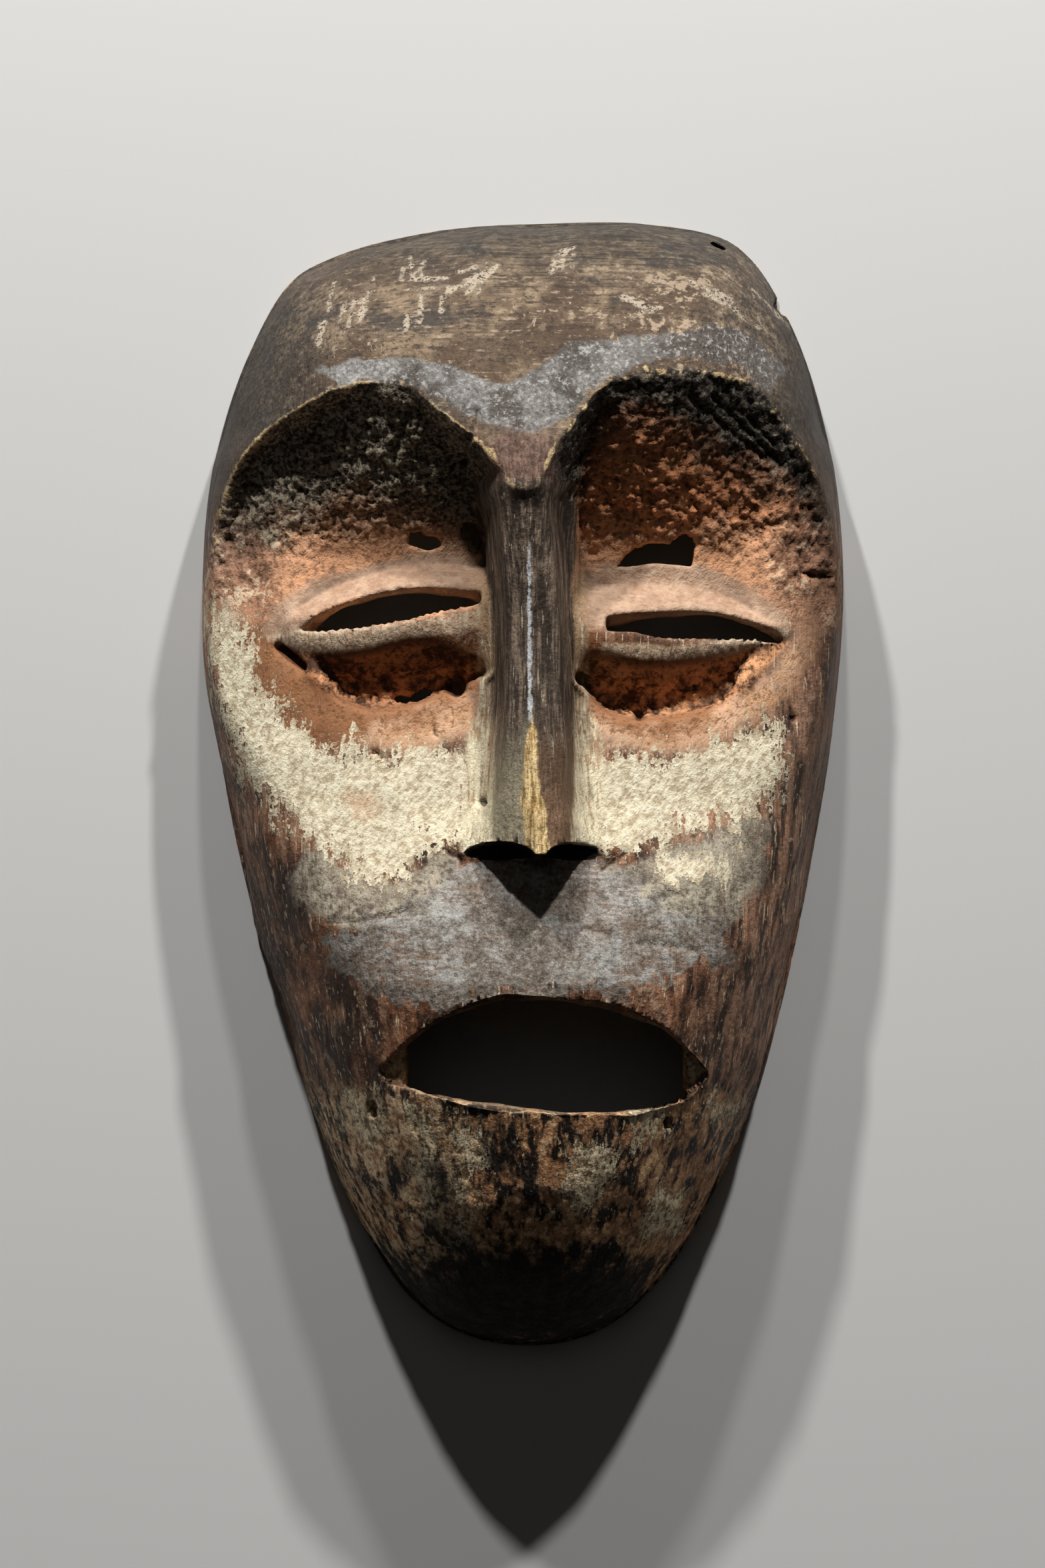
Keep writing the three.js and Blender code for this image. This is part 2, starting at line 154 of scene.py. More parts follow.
# %% A smooth curve as a function
def through(points, period=None):
    """A function that runs smoothly through points (x, y). With a period it closes on itself."""
    xs, ys = np.array(points, float).T
    if period:
        xs = np.concatenate([xs[-2:] - period, xs, xs[:2] + period])
        ys = np.concatenate([ys[-2:], ys, ys[:2]])
    before = np.maximum(np.arange(len(xs)) - 1, 0)
    after = np.minimum(np.arange(len(xs)) + 1, len(xs) - 1)
    slopes = (ys[after] - ys[before]) / (xs[after] - xs[before])
    start = points[0][0]

    def curve(x):
        x = np.asarray(x, float)
        x = start + np.mod(x - start, period) if period else np.clip(x, xs[0], xs[-1])
        i = np.clip(np.searchsorted(xs, x, side="right") - 1, 0, len(xs) - 2)
        width = xs[i + 1] - xs[i]
        t = (x - xs[i]) / width
        bend = slopes[i] * (1 - t) - slopes[i + 1] * t
        ends = ys[i] * (1 + 2 * t) * (1 - t) ** 2 + ys[i + 1] * t * t * (3 - 2 * t)
        return ends + width * t * (1 - t) * bend

    return curve


edge_distance = through(OUTLINE, 360)
bag_edge = through([
    (-90, 66), (-75, 50), (-57, 29), (-40, 20.4), (-22, 24), (-10, 29), (2, 31), (14, 27),
    (22, 20), (30, 18), (45, 19.3), (56, 23), (70, 37), (90, 66),
])
lid_top = through([
    (-90, 43), (-80, 43), (-68, 47), (-53, 53.5), (-32, 61.1), (-18, 60.5), (3, 56), (17, 55.5),
    (38, 57.2), (52, 54.6), (66, 48), (78, 43), (90, 43),
])
slit_line = through([(-90, 40), (-58, 43), (-11, 47.5), (3, 43), (21, 39.5), (68, 41), (90, 40)])
lid_foot = through([
    (-90, 37), (-80, 37.5), (-68, 36), (-49, 33.4), (-25, 37), (-12, 33.5), (3, 33), (21, 33.1),
    (31, 30.9), (52, 33.1), (69, 37.5), (80, 38), (90, 38),
])
face_line = through([
    (-52, 74.5), (-38, 69.5), (-20, 64), (0, 59.5), (20, 56), (45, 54), (60, 55), (115, 75),
])
nose_middle = through([(-20, 2.4), (0, 3), (45, 2.5), (76, 0.3)])
nose_ridge = through([(-20, 5.8), (-5, 3.5), (15, 2.1), (60, 1.6), (76, 0.3)])
nose_half_width = through([
    (-20, 18.2), (-12, 16.2), (0, 14.2), (20, 12.2), (40, 11.4), (60, 11), (76, 9.5), (84, 8),
])
nose_height = through([
    (-20, 86), (0, 82), (20, 78.5), (40, 77.5), (60, 79.5), (76, 81.7), (84, 80),
])

# %% [markdown]
# ## Carving with a distance field
# A carved form has edges that are softened by hand and by wear, and fillets where one cut runs
# into another. Booleans on meshes give knife edges, so the wood is described instead by a number
# at each point of a fine grid: how far that point is outside the wood, or, below zero, inside it.
# Cutting and joining are then a maximum and a minimum, and a soft maximum rounds the edge.

# %% The grid of points
VOXEL = 0.92
LOW = (-88.0, -152.5, -2.5)
HIGH = (88.0, 152.5, 89.0)
gx, gy, gz = (
    np.arange(low, high, VOXEL, dtype=np.float32) for low, high in zip(LOW, HIGH)
)
X, Y = np.meshgrid(gx, gy, indexing="ij")
print("grid", len(gx), len(gy), len(gz))


def smooth_min(a, b, k):
    """A minimum of two heights whose join is rounded."""
    return (a + b - np.hypot(a - b, k)) / 2


def smooth_max(a, b, k):
    return -smooth_min(-a, -b, k)


def join(a, b, k):
    """Two solids as one, with a fillet about k wide that ends where it should."""
    return np.minimum(a, b) - np.maximum(k - np.abs(a - b), 0) ** 2 / (4 * k)


def cut(a, tool, k):
    """Solid a with a tool taken out of it, and an edge rounded over about k."""
    return -join(-a, tool, k)


def crown(y):
    return CROWN_HEIGHT + CROWN_RISE * np.tanh(y / CROWN_REACH)


def blank_share(x, y):
    """0 at the middle of the blank and 1 at its outer edge."""
    return np.hypot(x, y) / edge_distance(np.degrees(np.arctan2(y, x)))


def blank_height(x, y):
    share = np.minimum(blank_share(x, y), 1)
    return crown(y) * (1 - share**SIDE_POWER) ** (1 / FRONT_POWER)


def dome(inset, thickness):
    """The blank as a distance field, or the smaller dome that was hollowed out of it."""
    edge = edge_distance(np.degrees(np.arctan2(Y, X))) - inset
    across = ((np.hypot(X, Y) / edge) ** SIDE_POWER).astype(np.float32)
    height = (crown(gy) - thickness)[:, None]
    up = ((np.maximum(gz, 0)[None, :] / height) ** FRONT_POWER).astype(np.float32)
    across_x, across_y = np.gradient(across, VOXEL)
    up_y, up_z = np.gradient(up, VOXEL)
    steepness = np.sqrt(
        across_x[:, :, None] ** 2 + (across_y[:, :, None] + up_y[None]) ** 2 + up_z[None] ** 2
    )
    return (across[:, :, None] + up[None] - 1) / np.maximum(steepness, 1e-4)


def under(height):
    """How far each point of the grid is above a surface, square to it."""
    height = height.astype(np.float32)
    slope_x, slope_y = np.gradient(height, VOXEL)
    square = np.sqrt(1 + slope_x**2 + slope_y**2)
    return (gz[None, None] - height[:, :, None]) / square[:, :, None]


# %% The sunk face
def face_height(x, y):
    return face_line(y) - CHEEK_FALL * np.abs(x / FACE_HALF_WIDTH) ** CHEEK_CURVE


def step(low, high, x):
    """0 below low, 1 above high, and a smooth rise between them."""
    t = np.clip((x - low) / (high - low), 0, 1)
    return t * t * (3 - 2 * t)


def socket_height(x, y, bag_slope=BAG_SLOPE):
    temple = np.maximum(0, (np.abs(x - NOSE_X) - TEMPLE_START) / TEMPLE_SPAN)
    side = step(*SIDE_SPAN, np.abs(x - NOSE_X))
    slope = bag_slope + (SIDE_SLOPE - bag_slope) * side
    rise = SOCKET_SLOPE + (TEMPLE_SLOPE - SOCKET_SLOPE) * step(*RISE_SPAN, np.abs(x - NOSE_X))
    return (
        SOCKET_FLOOR
        - TEMPLE_FALL * temple**2
        + rise * smooth_max(0, y - SOCKET_Y, SOCKET_ROUNDING)
        + slope * smooth_max(0, bag_edge(x) - y, 0.6 + 20 * side)
    )


def eyeball_height(x, y):
    over = y - slit_line(x)
    rise = np.clip(over / (lid_top(x) - slit_line(x)), 0, 1.5) ** LID_CURVE
    tuck = np.clip(over / (lid_foot(x) - slit_line(x)), 0, 1) ** TUCK_CURVE
    under_lid = np.maximum(0, lid_foot(x) - y)
    fall = LID_TUCK * tuck + UNDER_LID_SLOPE * under_lid
    fade = EYE_FADE * np.maximum(0, np.abs(x - NOSE_X) - EYE_REACH)
    return face_height(x, y) + LID_BULGE - np.where(over > 0, LID_DROP * rise, fall) - fade


def sunk_height(x, y):
    beside = NOSE_SIDE_SLOPE * np.maximum(0, NOSE_SIDE_X - np.abs(x - NOSE_X))
    socket = smooth_min(face_height(x, y), socket_height(x, y) + beside, SOCKET_FILLET)
    return smooth_max(socket, eyeball_height(x, y), LID_FILLET)


# %% Outlines and their distances
def spline(points, per=6):
    """Points on a smooth curve that goes through the given ones."""
    p = np.array(points, float)
    p = np.concatenate([2 * p[:1] - p[1:2], p, 2 * p[-1:] - p[-2:-1]])
    t = np.linspace(0, 1, per, endpoint=False)[:, None]
    runs = []
    for a, b, c, d in zip(p, p[1:], p[2:], p[3:]):
        runs.append(
            0.5 * (2 * b + (c - a) * t + (2 * a - 5 * b + 4 * c - d) * t**2
                   + (3 * b - a - 3 * c + d) * t**3)
        )
    return np.concatenate([*runs, p[-2:-1]])


def outline_field(points, xs=None, ys=None):
    """Distance in the plane to a closed outline, below zero inside it."""
    xs = X if xs is None else xs
    ys = Y if ys is None else ys
    nearest = np.full(xs.shape, 1e9)
    inside = np.zeros(xs.shape, bool)
    for (ax, ay), (bx, by) in zip(points, np.roll(points, -1, axis=0)):
        ex, ey = bx - ax, by - ay
        px, py = xs - ax, ys - ay
        t = np.clip((px * ex + py * ey) / max(ex * ex + ey * ey, 1e-9), 0, 1)
        nearest = np.minimum(nearest, (px - t * ex) ** 2 + (py - t * ey) ** 2)
        if ay != by:
            crosses = (ay > ys) != (by > ys)
            inside ^= crosses & (px < (ys - ay) * ex / ey)
    return (np.sqrt(nearest) * np.where(inside, -1, 1)).astype(np.float32)


# %% The blank, with the face sunk into it
def grid_noise(shape, size, seed):
    """Smooth random lumps from -1 to 1, about size grid steps apart."""
    coarse = np.random.RandomState(seed).uniform(-1, 1, [int(n / size) + 3 for n in shape])
    for axis, n in enumerate(shape):
        at = np.arange(n) / size
        low = at.astype(int)
        t = (at - low) ** 2 * (3 - 2 * (at - low))
        t = t.reshape([-1 if a == axis else 1 for a in range(len(shape))])
        coarse = np.take(coarse, low, axis) * (1 - t) + np.take(coarse, low + 1, axis) * t
    return coarse.astype(np.float32)


GRID_SHAPE = (len(gx), len(gy), len(gz))
ragged = grid_noise(GRID_SHAPE, 3.2, seed=5) * 0.7 + grid_noise(GRID_SHAPE, 1.7, seed=6) * 0.35
hand_wobble = grid_noise(GRID_SHAPE, 9.0, seed=8)

brow_outline = np.concatenate([spline(BROW), [(98, 40), (98, -84), (-98, -84), (-98, 40)]])
brow_field = outline_field(brow_outline)
BROW_SLOPE = BROW_LEAN / BROW_DEPTH
side_fade = np.clip((Y - BROW_LEAN_FROM) / BROW_LEAN_OVER, 0, 1)
brow_wall = brow_field[:, :, None] + (BROW_SLOPE * side_fade)[:, :, None] * np.maximum(
    blank_height(X, Y).astype(np.float32)[:, :, None] - gz, 0
)
brow_wall += BROW_RAGGED * ragged + BROW_WOBBLE * hand_wobble
over_face = -under(sunk_height(X, Y))
edge_rounding = (EDGE_ROUNDING + JAW_ROUNDING * (1 - step(*JAW_FADE, gy)))[None, :, None]
brow_wall /= math.hypot(1, BROW_SLOPE)
wood = cut(dome(0, 0), -join(-over_face, -brow_wall, FACE_FILLET), edge_rounding)
wood = -join(-wood, gz[None, None] * np.ones_like(wood), RIM_ROUNDING)
print("blank and face", wood.shape)

# %% [markdown]
# ## The nose
# The nose is a wedge left standing: a ridge, a front that turns into hollow flanks, and soft
# fillets into the cheeks. Below it ends in one square saw-like cut with two scooped nostrils.

# %% The nose
FLANK = 0.78  # share of the half width at the hollow of the flanks
SHOULDER = 0.6  # and at the front's edge
shoulder_drop = through([(-20, 9), (5, 5), (30, 2.6)])
flank_rise = through([(-20, 0.28), (30, 0.42)])
NOSE_FILLET = 4.5
FLANK_CURVE = 0.8
FRONT_CURVE = 1.3
FLANK_STEEPNESS = 1.15  # distances across the nose, over those square to its flank
NOSE_ROOT = 6  # how far the wedge reaches down into the face
NOSTRILS = ((-6.4, 9), (14, 7.2))  # middle and half width of each
NOSTRIL_RISE = 3.3
NOSTRIL_HEIGHT = 80
NOSTRIL_HALF_DEPTH = 12


def block(low, high):
    """The part of the grid between two corners, as slices, and its three coordinates."""
    spans = [
        slice(*np.searchsorted(g, (a, b))) for g, a, b in zip((gx, gy, gz), low, high)
    ]
    x, y, z = (g[s] for g, s in zip((gx, gy, gz), spans))
    return tuple(spans), x[:, None, None], y[None, :, None], z[None, None, :]


spans, x, y, z = block((-36, -34, 36), (42, NOSE_TOP_Y, 89))
half = nose_half_width(y)
top = nose_height(y)
foot = face_height(nose_middle(y), y)
share = np.clip((z - foot) / (top - foot), 0, 1)
drop = shoulder_drop(y)
rise = flank_rise(y)
shoulder_share = 1 - drop / (top - foot)
width = np.where(
    share < rise,
    1 - (1 - FLANK) * (share / rise) ** FLANK_CURVE,
    FLANK - (FLANK - SHOULDER) * (share - rise) / (shoulder_share - rise),
)
flank = (np.abs(x - nose_middle(y)) - half * width) / FLANK_STEEPNESS
off_ridge = np.abs(x - nose_ridge(y)) / (SHOULDER * half)
front = z - (top - drop * np.clip(off_ridge, 0, 1.6) ** FRONT_CURVE)
front = front / np.hypot(1, drop / (SHOULDER * half))
nose = -join(-flank, -front, NOSE_EDGE)
nose = np.maximum(nose, foot - NOSE_ROOT - z)
lip = wood[spans].copy()
wood[spans] = join(wood[spans], nose.astype(np.float32), NOSE_FILLET)

# The square cut under the nose leaves the lip below it as it was.
below_nose = np.maximum(y - NOSE_TIP_Y, -lip)
wood[spans] = cut(wood[spans], below_nose.astype(np.float32), CUT_EDGE)
for middle, half_width in NOSTRILS:
    reach = np.sqrt(
        ((x - middle) / half_width) ** 2
        + ((y - NOSE_TIP_Y) / NOSTRIL_RISE) ** 2
        + (np.maximum(z - NOSTRIL_HEIGHT, 0) / NOSTRIL_HALF_DEPTH) ** 2
    )
    nostril = np.maximum((reach - 1) * NOSTRIL_RISE, -lip)
    wood[spans] = cut(wood[spans], nostril.astype(np.float32), CUT_EDGE)

# %% [markdown]
# ## The hollow and the cuts
# Behind, the wood was taken out to an even wall, which got very thin over the sockets and broke
# through. The eye slits run down as they run in, and the mouth narrows towards the back.

# %% The hollow
HOLLOW_ROUNDING = 4
HOLLOW_EDGE = 1.5


def hollow_height(x, y):
    middle = np.where(x < NOSE_X, *EYE_MIDDLE_X)
    reach_x, reach_y = EYE_HOLLOW_REACH
    off = ((x - middle) / reach_x) ** 4 + ((y - slit_line(x)) / reach_y) ** 2
    cheek = face_height(x, y) - CHEEK_WALL
    socket = socket_height(x, y, HOLLOW_BAG_SLOPE) - SOCKET_WALL
    return smooth_min(cheek, socket, HOLLOW_ROUNDING) + EYE_HOLLOW * np.exp(-off)


hollow = -join(-dome(RIM_WIDTH, WALL), -under(hollow_height(X, Y)), HOLLOW_ROUNDING)
wood = cut(wood, hollow, HOLLOW_EDGE)


# %% Slits, mouth, broken places, nail hole and chips
def between(field, at, axis):
    """A plane field read at other grid positions along one axis."""
    at = np.clip((at - (gx, gy)[axis][0]) / VOXEL, 0, field.shape[axis] - 1.001)
    low = at.astype(int)
    t = (at - low)[:, None] if axis == 0 else (at - low)[None, :]
    return np.take(field, low, axis) * (1 - t) + np.take(field, low + 1, axis) * t


LEFT_SLIT = (
    [(-58.4, 42.6), (-50.1, 47.3), (-36, 50.6), (-22, 50.9), (-10.8, 49.4)],
    [(-10.8, 45.7), (-25.3, 43), (-39.5, 40.9), (-50, 41), (-58.4, 42.2)],
)
RIGHT_SLIT = (
    [(22, 41.6), (38.4, 43.9), (51.7, 45), (63.2, 42.9), (69.4, 41.4)],
    [(69.4, 40.9), (56.1, 37.9), (39, 35.8), (30, 36.6), (22, 36.8)],
)
SLIT_SLANT = 0.45
MOUTH = (
    [(-37.4, -74.6), (-25.3, -64.3), (-11.2, -57.9), (6.6, -56.3), (24.3, -59), (38.4, -65.2),
     (48.5, -76)],
    [(48.5, -77.4), (38.4, -83.2), (17.2, -85.9), (-11.2, -83.4), (-32.4, -78.4), (-37.4, -75.6)],
)
MOUTH_FRONT = 69
MOUTH_BACK = 60
MOUTH_NARROWING = (1, 0.955)
MOUTH_CORNERS = (7.4, 6.6)  # how far each corner is closed by wood behind
MOUTH_CORNER_DEPTH = (0.8, 4.5)  # and between which depths it closes
BROKEN_HOLES = [
    [(-30, 66.8), (-26.5, 66.4), (-25.3, 65.1), (-22.6, 65), (-21.2, 63.2), (-23, 61.9),
     (-24.8, 61.2), (-27, 62), (-30, 62.9)],
    [(24.8, 57.2), (26.9, 60.2), (29.2, 62), (32.6, 63.4), (38.4, 63.2), (39.7, 64.8),
     (42.5, 66.1), (45, 65), (46, 63.2), (45, 60.2), (44.6, 57), (39.7, 57.6), (35.4, 58.3),
     (32.6, 57.9), (27.3, 56.8)],
    [(-35.6, 22.4), (-32, 23.8), (-29, 23.4), (-26.5, 25.2), (-23, 25), (-24, 23), (-27.5, 21.4),
     (-31, 20.8)],
]
NAIL_HOLE = ((53.5, 147, 26), (45, 125, 8))
NAIL_RADIUS = 1.3
CHIPS = (61.2, -25.2, -31.9)  # directions of the chips in the outer edge
CHIP_RADIUS = 3.2
CHIP_HEIGHT = 7

for slit in (LEFT_SLIT, RIGHT_SLIT):
    lens = np.concatenate([spline(edge) for edge in slit])
    middle = lens[12]
    pivot = face_height(*middle)
    plane = outline_field(lens)
    for k, height in enumerate(gz):
        if 20 < height < 75:
            tool = between(plane, gy - SLIT_SLANT * (height - pivot), 1)
            wood[:, :, k] = cut(wood[:, :, k], tool + SLIT_RAGGED * ragged[:, :, k], SLIT_EDGE)

mouth_lens = np.concatenate([spline(edge) for edge in MOUTH])
mouth_plane = outline_field(mouth_lens)
mouth_x = (mouth_lens[:, 0].min() + mouth_lens[:, 0].max()) / 2
mouth_foot = mouth_lens[:, 1].min()
mouth_ends = (mouth_lens[:, 0].min(), mouth_lens[:, 0].max())
mouth_front = np.minimum(blank_height(X, Y), face_height(X, Y))
for k, height in enumerate(gz):
    if height > 30:
        t = np.clip((MOUTH_FRONT - height) / (MOUTH_FRONT - MOUTH_BACK), 0, 1)
        share_x, share_y = (1 - t * (1 - share) for share in MOUTH_NARROWING)
        tool = between(mouth_plane, mouth_x + (gx - mouth_x) / share_x, 0)
        tool = between(tool, mouth_foot + (gy - mouth_foot) / share_y, 1)
        closed = step(*MOUTH_CORNER_DEPTH, mouth_front - height)
        left = mouth_ends[0] - 1 + (MOUTH_CORNERS[0] + 1) * closed - X
        right = X - mouth_ends[1] - 1 + (MOUTH_CORNERS[1] + 1) * closed
        tool = np.maximum(tool, np.maximum(left, right).astype(np.float32))
        tool += MOUTH_WOBBLE * hand_wobble[:, :, k]
        wood[:, :, k] = cut(wood[:, :, k], tool, MOUTH_EDGE)

for hole in BROKEN_HOLES:
    plane = outline_field(np.array(hole))
    tool = plane[:, :, None] + HOLE_RAGGED * ragged
    wood = cut(wood, tool, THIN_EDGE)

start, end = np.array(NAIL_HOLE, float)
spans, x, y, z = block((38, 118, 0), (62, 152, 36))
along = end - start
t = (x - start[0]) * along[0] + (y - start[1]) * along[1] + (z - start[2]) * along[2]
t = np.clip(t / (along @ along), 0, 1)
reach = np.sqrt(sum((g - s - t * a) ** 2 for g, s, a in zip((x, y, z), start, along)))
wood[spans] = cut(wood[spans], (reach - NAIL_RADIUS).astype(np.float32), THIN_EDGE)

for direction in CHIPS:
    angle = math.radians(direction)
    r = edge_distance(direction) + 0.55 * CHIP_RADIUS
    cx, cy = r * math.cos(angle), r * math.sin(angle)
    spans, x, y, z = block((cx - 7, cy - 7, -3), (cx + 7, cy + 7, 20))
    reach = np.sqrt((x - cx) ** 2 + (y - cy) ** 2 + ((z - CHIP_HEIGHT) / 2.4) ** 2)
    wood[spans] = cut(wood[spans], (reach - CHIP_RADIUS).astype(np.float32), CUT_EDGE)

# %% [markdown]
# ## From the field to a mesh
# Where the field changes sign there is a surface. Surface nets put one vertex in every grid cell
# that the surface crosses, at the mean of the crossings on the cell's edges, and one face across
# every grid edge that is crossed. The faces come out as even small squares, which suits relief.


# %% Surface nets
RELAX_ROUNDS = 2
RELAX_SHARE = 0.5
LONGEST_MOVE = 0.6  # in grid steps


def surface_nets(field):
    """Vertices (in millimetres) and square faces of the surface where a field is zero."""
    shape = np.array(field.shape)
    cells = shape - 1
    inside = field < 0
    total = np.zeros((int(np.prod(cells)), 4), np.float32)
    quads = []
    stride = np.array([cells[1] * cells[2], cells[2], 1])
    for axis in range(3):
        near = [slice(None)] * 3
        far = [slice(None)] * 3
        near[axis] = slice(0, -1)
        far[axis] = slice(1, None)
        a, b = field[tuple(near)], field[tuple(far)]
        crossed = np.argwhere(inside[tuple(near)] != inside[tuple(far)])
        u, v = (axis + 1) % 3, (axis + 2) % 3
        crossed = crossed[(crossed[:, u] > 0) & (crossed[:, v] > 0)]
        crossed = crossed[(crossed[:, u] < cells[u]) & (crossed[:, v] < cells[v])]
        va, vb = a[tuple(crossed.T)], b[tuple(crossed.T)]
        point = crossed.astype(np.float32)
        point[:, axis] += va / (va - vb)
        corner = crossed @ stride
        around = np.stack(
            [corner, corner - stride[u], corner - stride[u] - stride[v], corner - stride[v]], 1
        )
        for column in range(4):
            ids = around[:, column]
            for c in range(3):
                total[:, c] += np.bincount(ids, point[:, c], len(total)).astype(np.float32)
            total[:, 3] += np.bincount(ids, minlength=len(total)).astype(np.float32)
        outward = va < 0
        quads.append(np.where(outward[:, None], around, around[:, ::-1]))
    quads = np.concatenate(quads)
    used = np.flatnonzero(total[:, 3])
    number = np.zeros(len(total), np.int64)
    number[used] = np.arange(len(used))
    vertices = total[used, :3] / total[used, 3:]
    return vertices, number[quads]


def read_field(field, points):
    """The field at points given in grid steps, between its values."""
    low = np.clip(points.astype(int), 0, np.array(field.shape) - 2)
    t = points - low
    value = 0
    for corner in np.ndindex(2, 2, 2):
        weight = np.prod(np.where(corner, t, 1 - t), axis=1)
        value = value + weight * field[tuple((low + corner).T)]
    return value


def neighbour_mean(points, edges):
    """The mean of each point's neighbours along the edges."""
    a, b = edges.T
    total = np.stack([
        np.bincount(a, points[b, c], len(points)) + np.bincount(b, points[a, c], len(points))
        for c in range(3)
    ], 1)
    return total / np.bincount(edges.ravel(), minlength=len(points))[:, None]


def relax(vertices, quads, field):
    """Evens out the squares, and puts each vertex back on the surface."""
    edges = np.concatenate([quads[:, pair] for pair in ([0, 1], [1, 2], [2, 3], [3, 0])])
    for _ in range(RELAX_ROUNDS):
        vertices = vertices + RELAX_SHARE * (neighbour_mean(vertices, edges) - vertices)
        value = read_field(field, vertices)
        slope = np.stack(
            [read_field(field, vertices + 0.5 * e) - read_field(field, vertices - 0.5 * e)
             for e in np.eye(3)],
            1,
        )
        size = (slope**2).sum(1, keepdims=True)
        move = value[:, None] * slope / np.maximum(size, 0.05)
        vertices = vertices - np.clip(move, -LONGEST_MOVE, LONGEST_MOVE)
    return vertices


vertices, quads = surface_nets(wood)
vertices = relax(vertices, quads, wood)
vertices = vertices * VOXEL + np.array([gx[0], gy[0], gz[0]])
vertices[:, 2] = np.maximum(vertices[:, 2], 0)
print("surface nets:", len(vertices), "vertices,", len(quads), "faces")
del wood, ragged, hand_wobble


# %% The mesh
def mesh_of(name, vertices, faces):
    mesh = bpy.data.meshes.new(name)
    mesh.vertices.add(len(vertices))
    mesh.vertices.foreach_set("co", (vertices * MM).astype(np.float32).ravel())
    mesh.loops.add(faces.size)
    mesh.loops.foreach_set("vertex_index", faces.ravel().astype(np.int32))
    mesh.polygons.add(len(faces))
    starts = np.arange(0, faces.size, faces.shape[1], dtype=np.int32)
    mesh.polygons.foreach_set("loop_start", starts)
    mesh.update(calc_edges=True)
    mesh.validate()
    piece = bpy.data.objects.new(name, mesh)
    bpy.context.scene.collection.objects.link(piece)
    mesh.shade_smooth()
    return piece


mask = mesh_of("patinated_mask", vertices, quads)

# %% [markdown]
# ## Tool marks
# The forehead and jaws were smoothed with shallow adze cuts, the sockets were left rough under a
# thick crust, the lower lids were fluted with a small gouge, and the dry wood has opened along its
# grain. All of it follows rules, so one Geometry Nodes tree moves each point along its normal by
# a sum of patterns. A mask for each pattern, stored on the points, says where it belongs.


# %% Helpers for node trees
class Tree:
    """Adds nodes to a tree, with sockets set or linked."""

    def __init__(self, tree):
        self.tree = tree

    def add(self, kind, *values, settings=None, slots=None, out=0, **inputs):
        """A new node's output. Its inputs are given in order, by number or by name."""
        node = self.tree.nodes.new(kind)
        for name, value in (settings or {}).items():
            setattr(node, name, value)
        named = {name.replace("_", " "): value for name, value in inputs.items()}
        for key, value in {**dict(enumerate(values)), **(slots or {}), **named}.items():
            if isinstance(value, Value):
                self.tree.links.new(value.socket, node.inputs[key])
            else:
                node.inputs[key].default_value = value
        return Value(self, node.outputs[out]) if node.outputs else node

    def math(self, operation, *values):
        return self.add("ShaderNodeMath", *values, settings={"operation": operation})

    def stretch(self, vector, scale):
        return self.add("ShaderNodeVectorMath", vector, scale, settings={"operation": "MULTIPLY"})

    def noise(self, vector, size, detail=4.0, roughness=0.55, stretch=None, middle=0.5):
        """Noise about 0 with lumps of a given size, in the unit of the vector."""
        vector = self.stretch(vector, stretch) if stretch else vector
        return self.add(
            "ShaderNodeTexNoise", Vector=vector, Scale=1 / size, Detail=detail, Roughness=roughness
        ) - middle


class Value:
    """A node's output, for use in plain sums: | is the larger of two, and ~ is 1 minus it."""

    def __init__(self, nodes, socket):
        self.nodes = nodes
        self.socket = socket

    def __add__(self, other):
        return self.nodes.math("ADD", self, other)

    def __mul__(self, other):
        return self.nodes.math("MULTIPLY", self, other)

    __radd__ = __add__
    __rmul__ = __mul__

    def __sub__(self, other):
        return self.nodes.math("SUBTRACT", self, other)

    def __rsub__(self, other):
        return self.nodes.math("SUBTRACT", other, self)

    def __truediv__(self, other):
        return self.nodes.math("DIVIDE", self, other)

    def __rtruediv__(self, other):
        return self.nodes.math("DIVIDE", other, self)

    def __or__(self, other):
        return self.nodes.math("MAXIMUM", self, other)

    def __abs__(self):
        return self.nodes.math("ABSOLUTE", self)

    def __invert__(self):
        return 1.0 - self

    def step(self, low, high):
        """0 at low and 1 at high, with a smooth rise between."""
        return self.nodes.add(
            "ShaderNodeMapRange", settings={"interpolation_type": "SMOOTHSTEP"},
            Value=self, From_Min=low, From_Max=high,
        )


# %% Where each kind of mark is
def read(piece, name):
    """The coordinates or the normals of all points of a piece."""
    found = np.empty(3 * len(piece.data.vertices), np.float32)
    piece.data.vertices.foreach_get(name, found)
    return found.reshape(-1, 3)


def read_points(piece):
    return read(piece, "co") / MM


def store(piece, name, values):
    if name in piece.data.attributes:
        piece.data.attributes.remove(piece.data.attributes[name])
    layer = piece.data.attributes.new(name, "FLOAT", "POINT")
    layer.data.foreach_set("value", np.ascontiguousarray(values, dtype=np.float32))


SKIN = (0.7, 2.2)  # millimetres off the hollow: still on it, and no longer on it


def hollow_share(points):
    """1 for points on the hollowed surface and 0 for all others."""
    steps = (points - np.array([gx[0], gy[0], gz[0]])) / VOXEL
    steps = np.clip(steps, 0, np.array(hollow.shape) - 1.001)
    return 1 - step(*SKIN, np.abs(read_field(hollow, steps)))


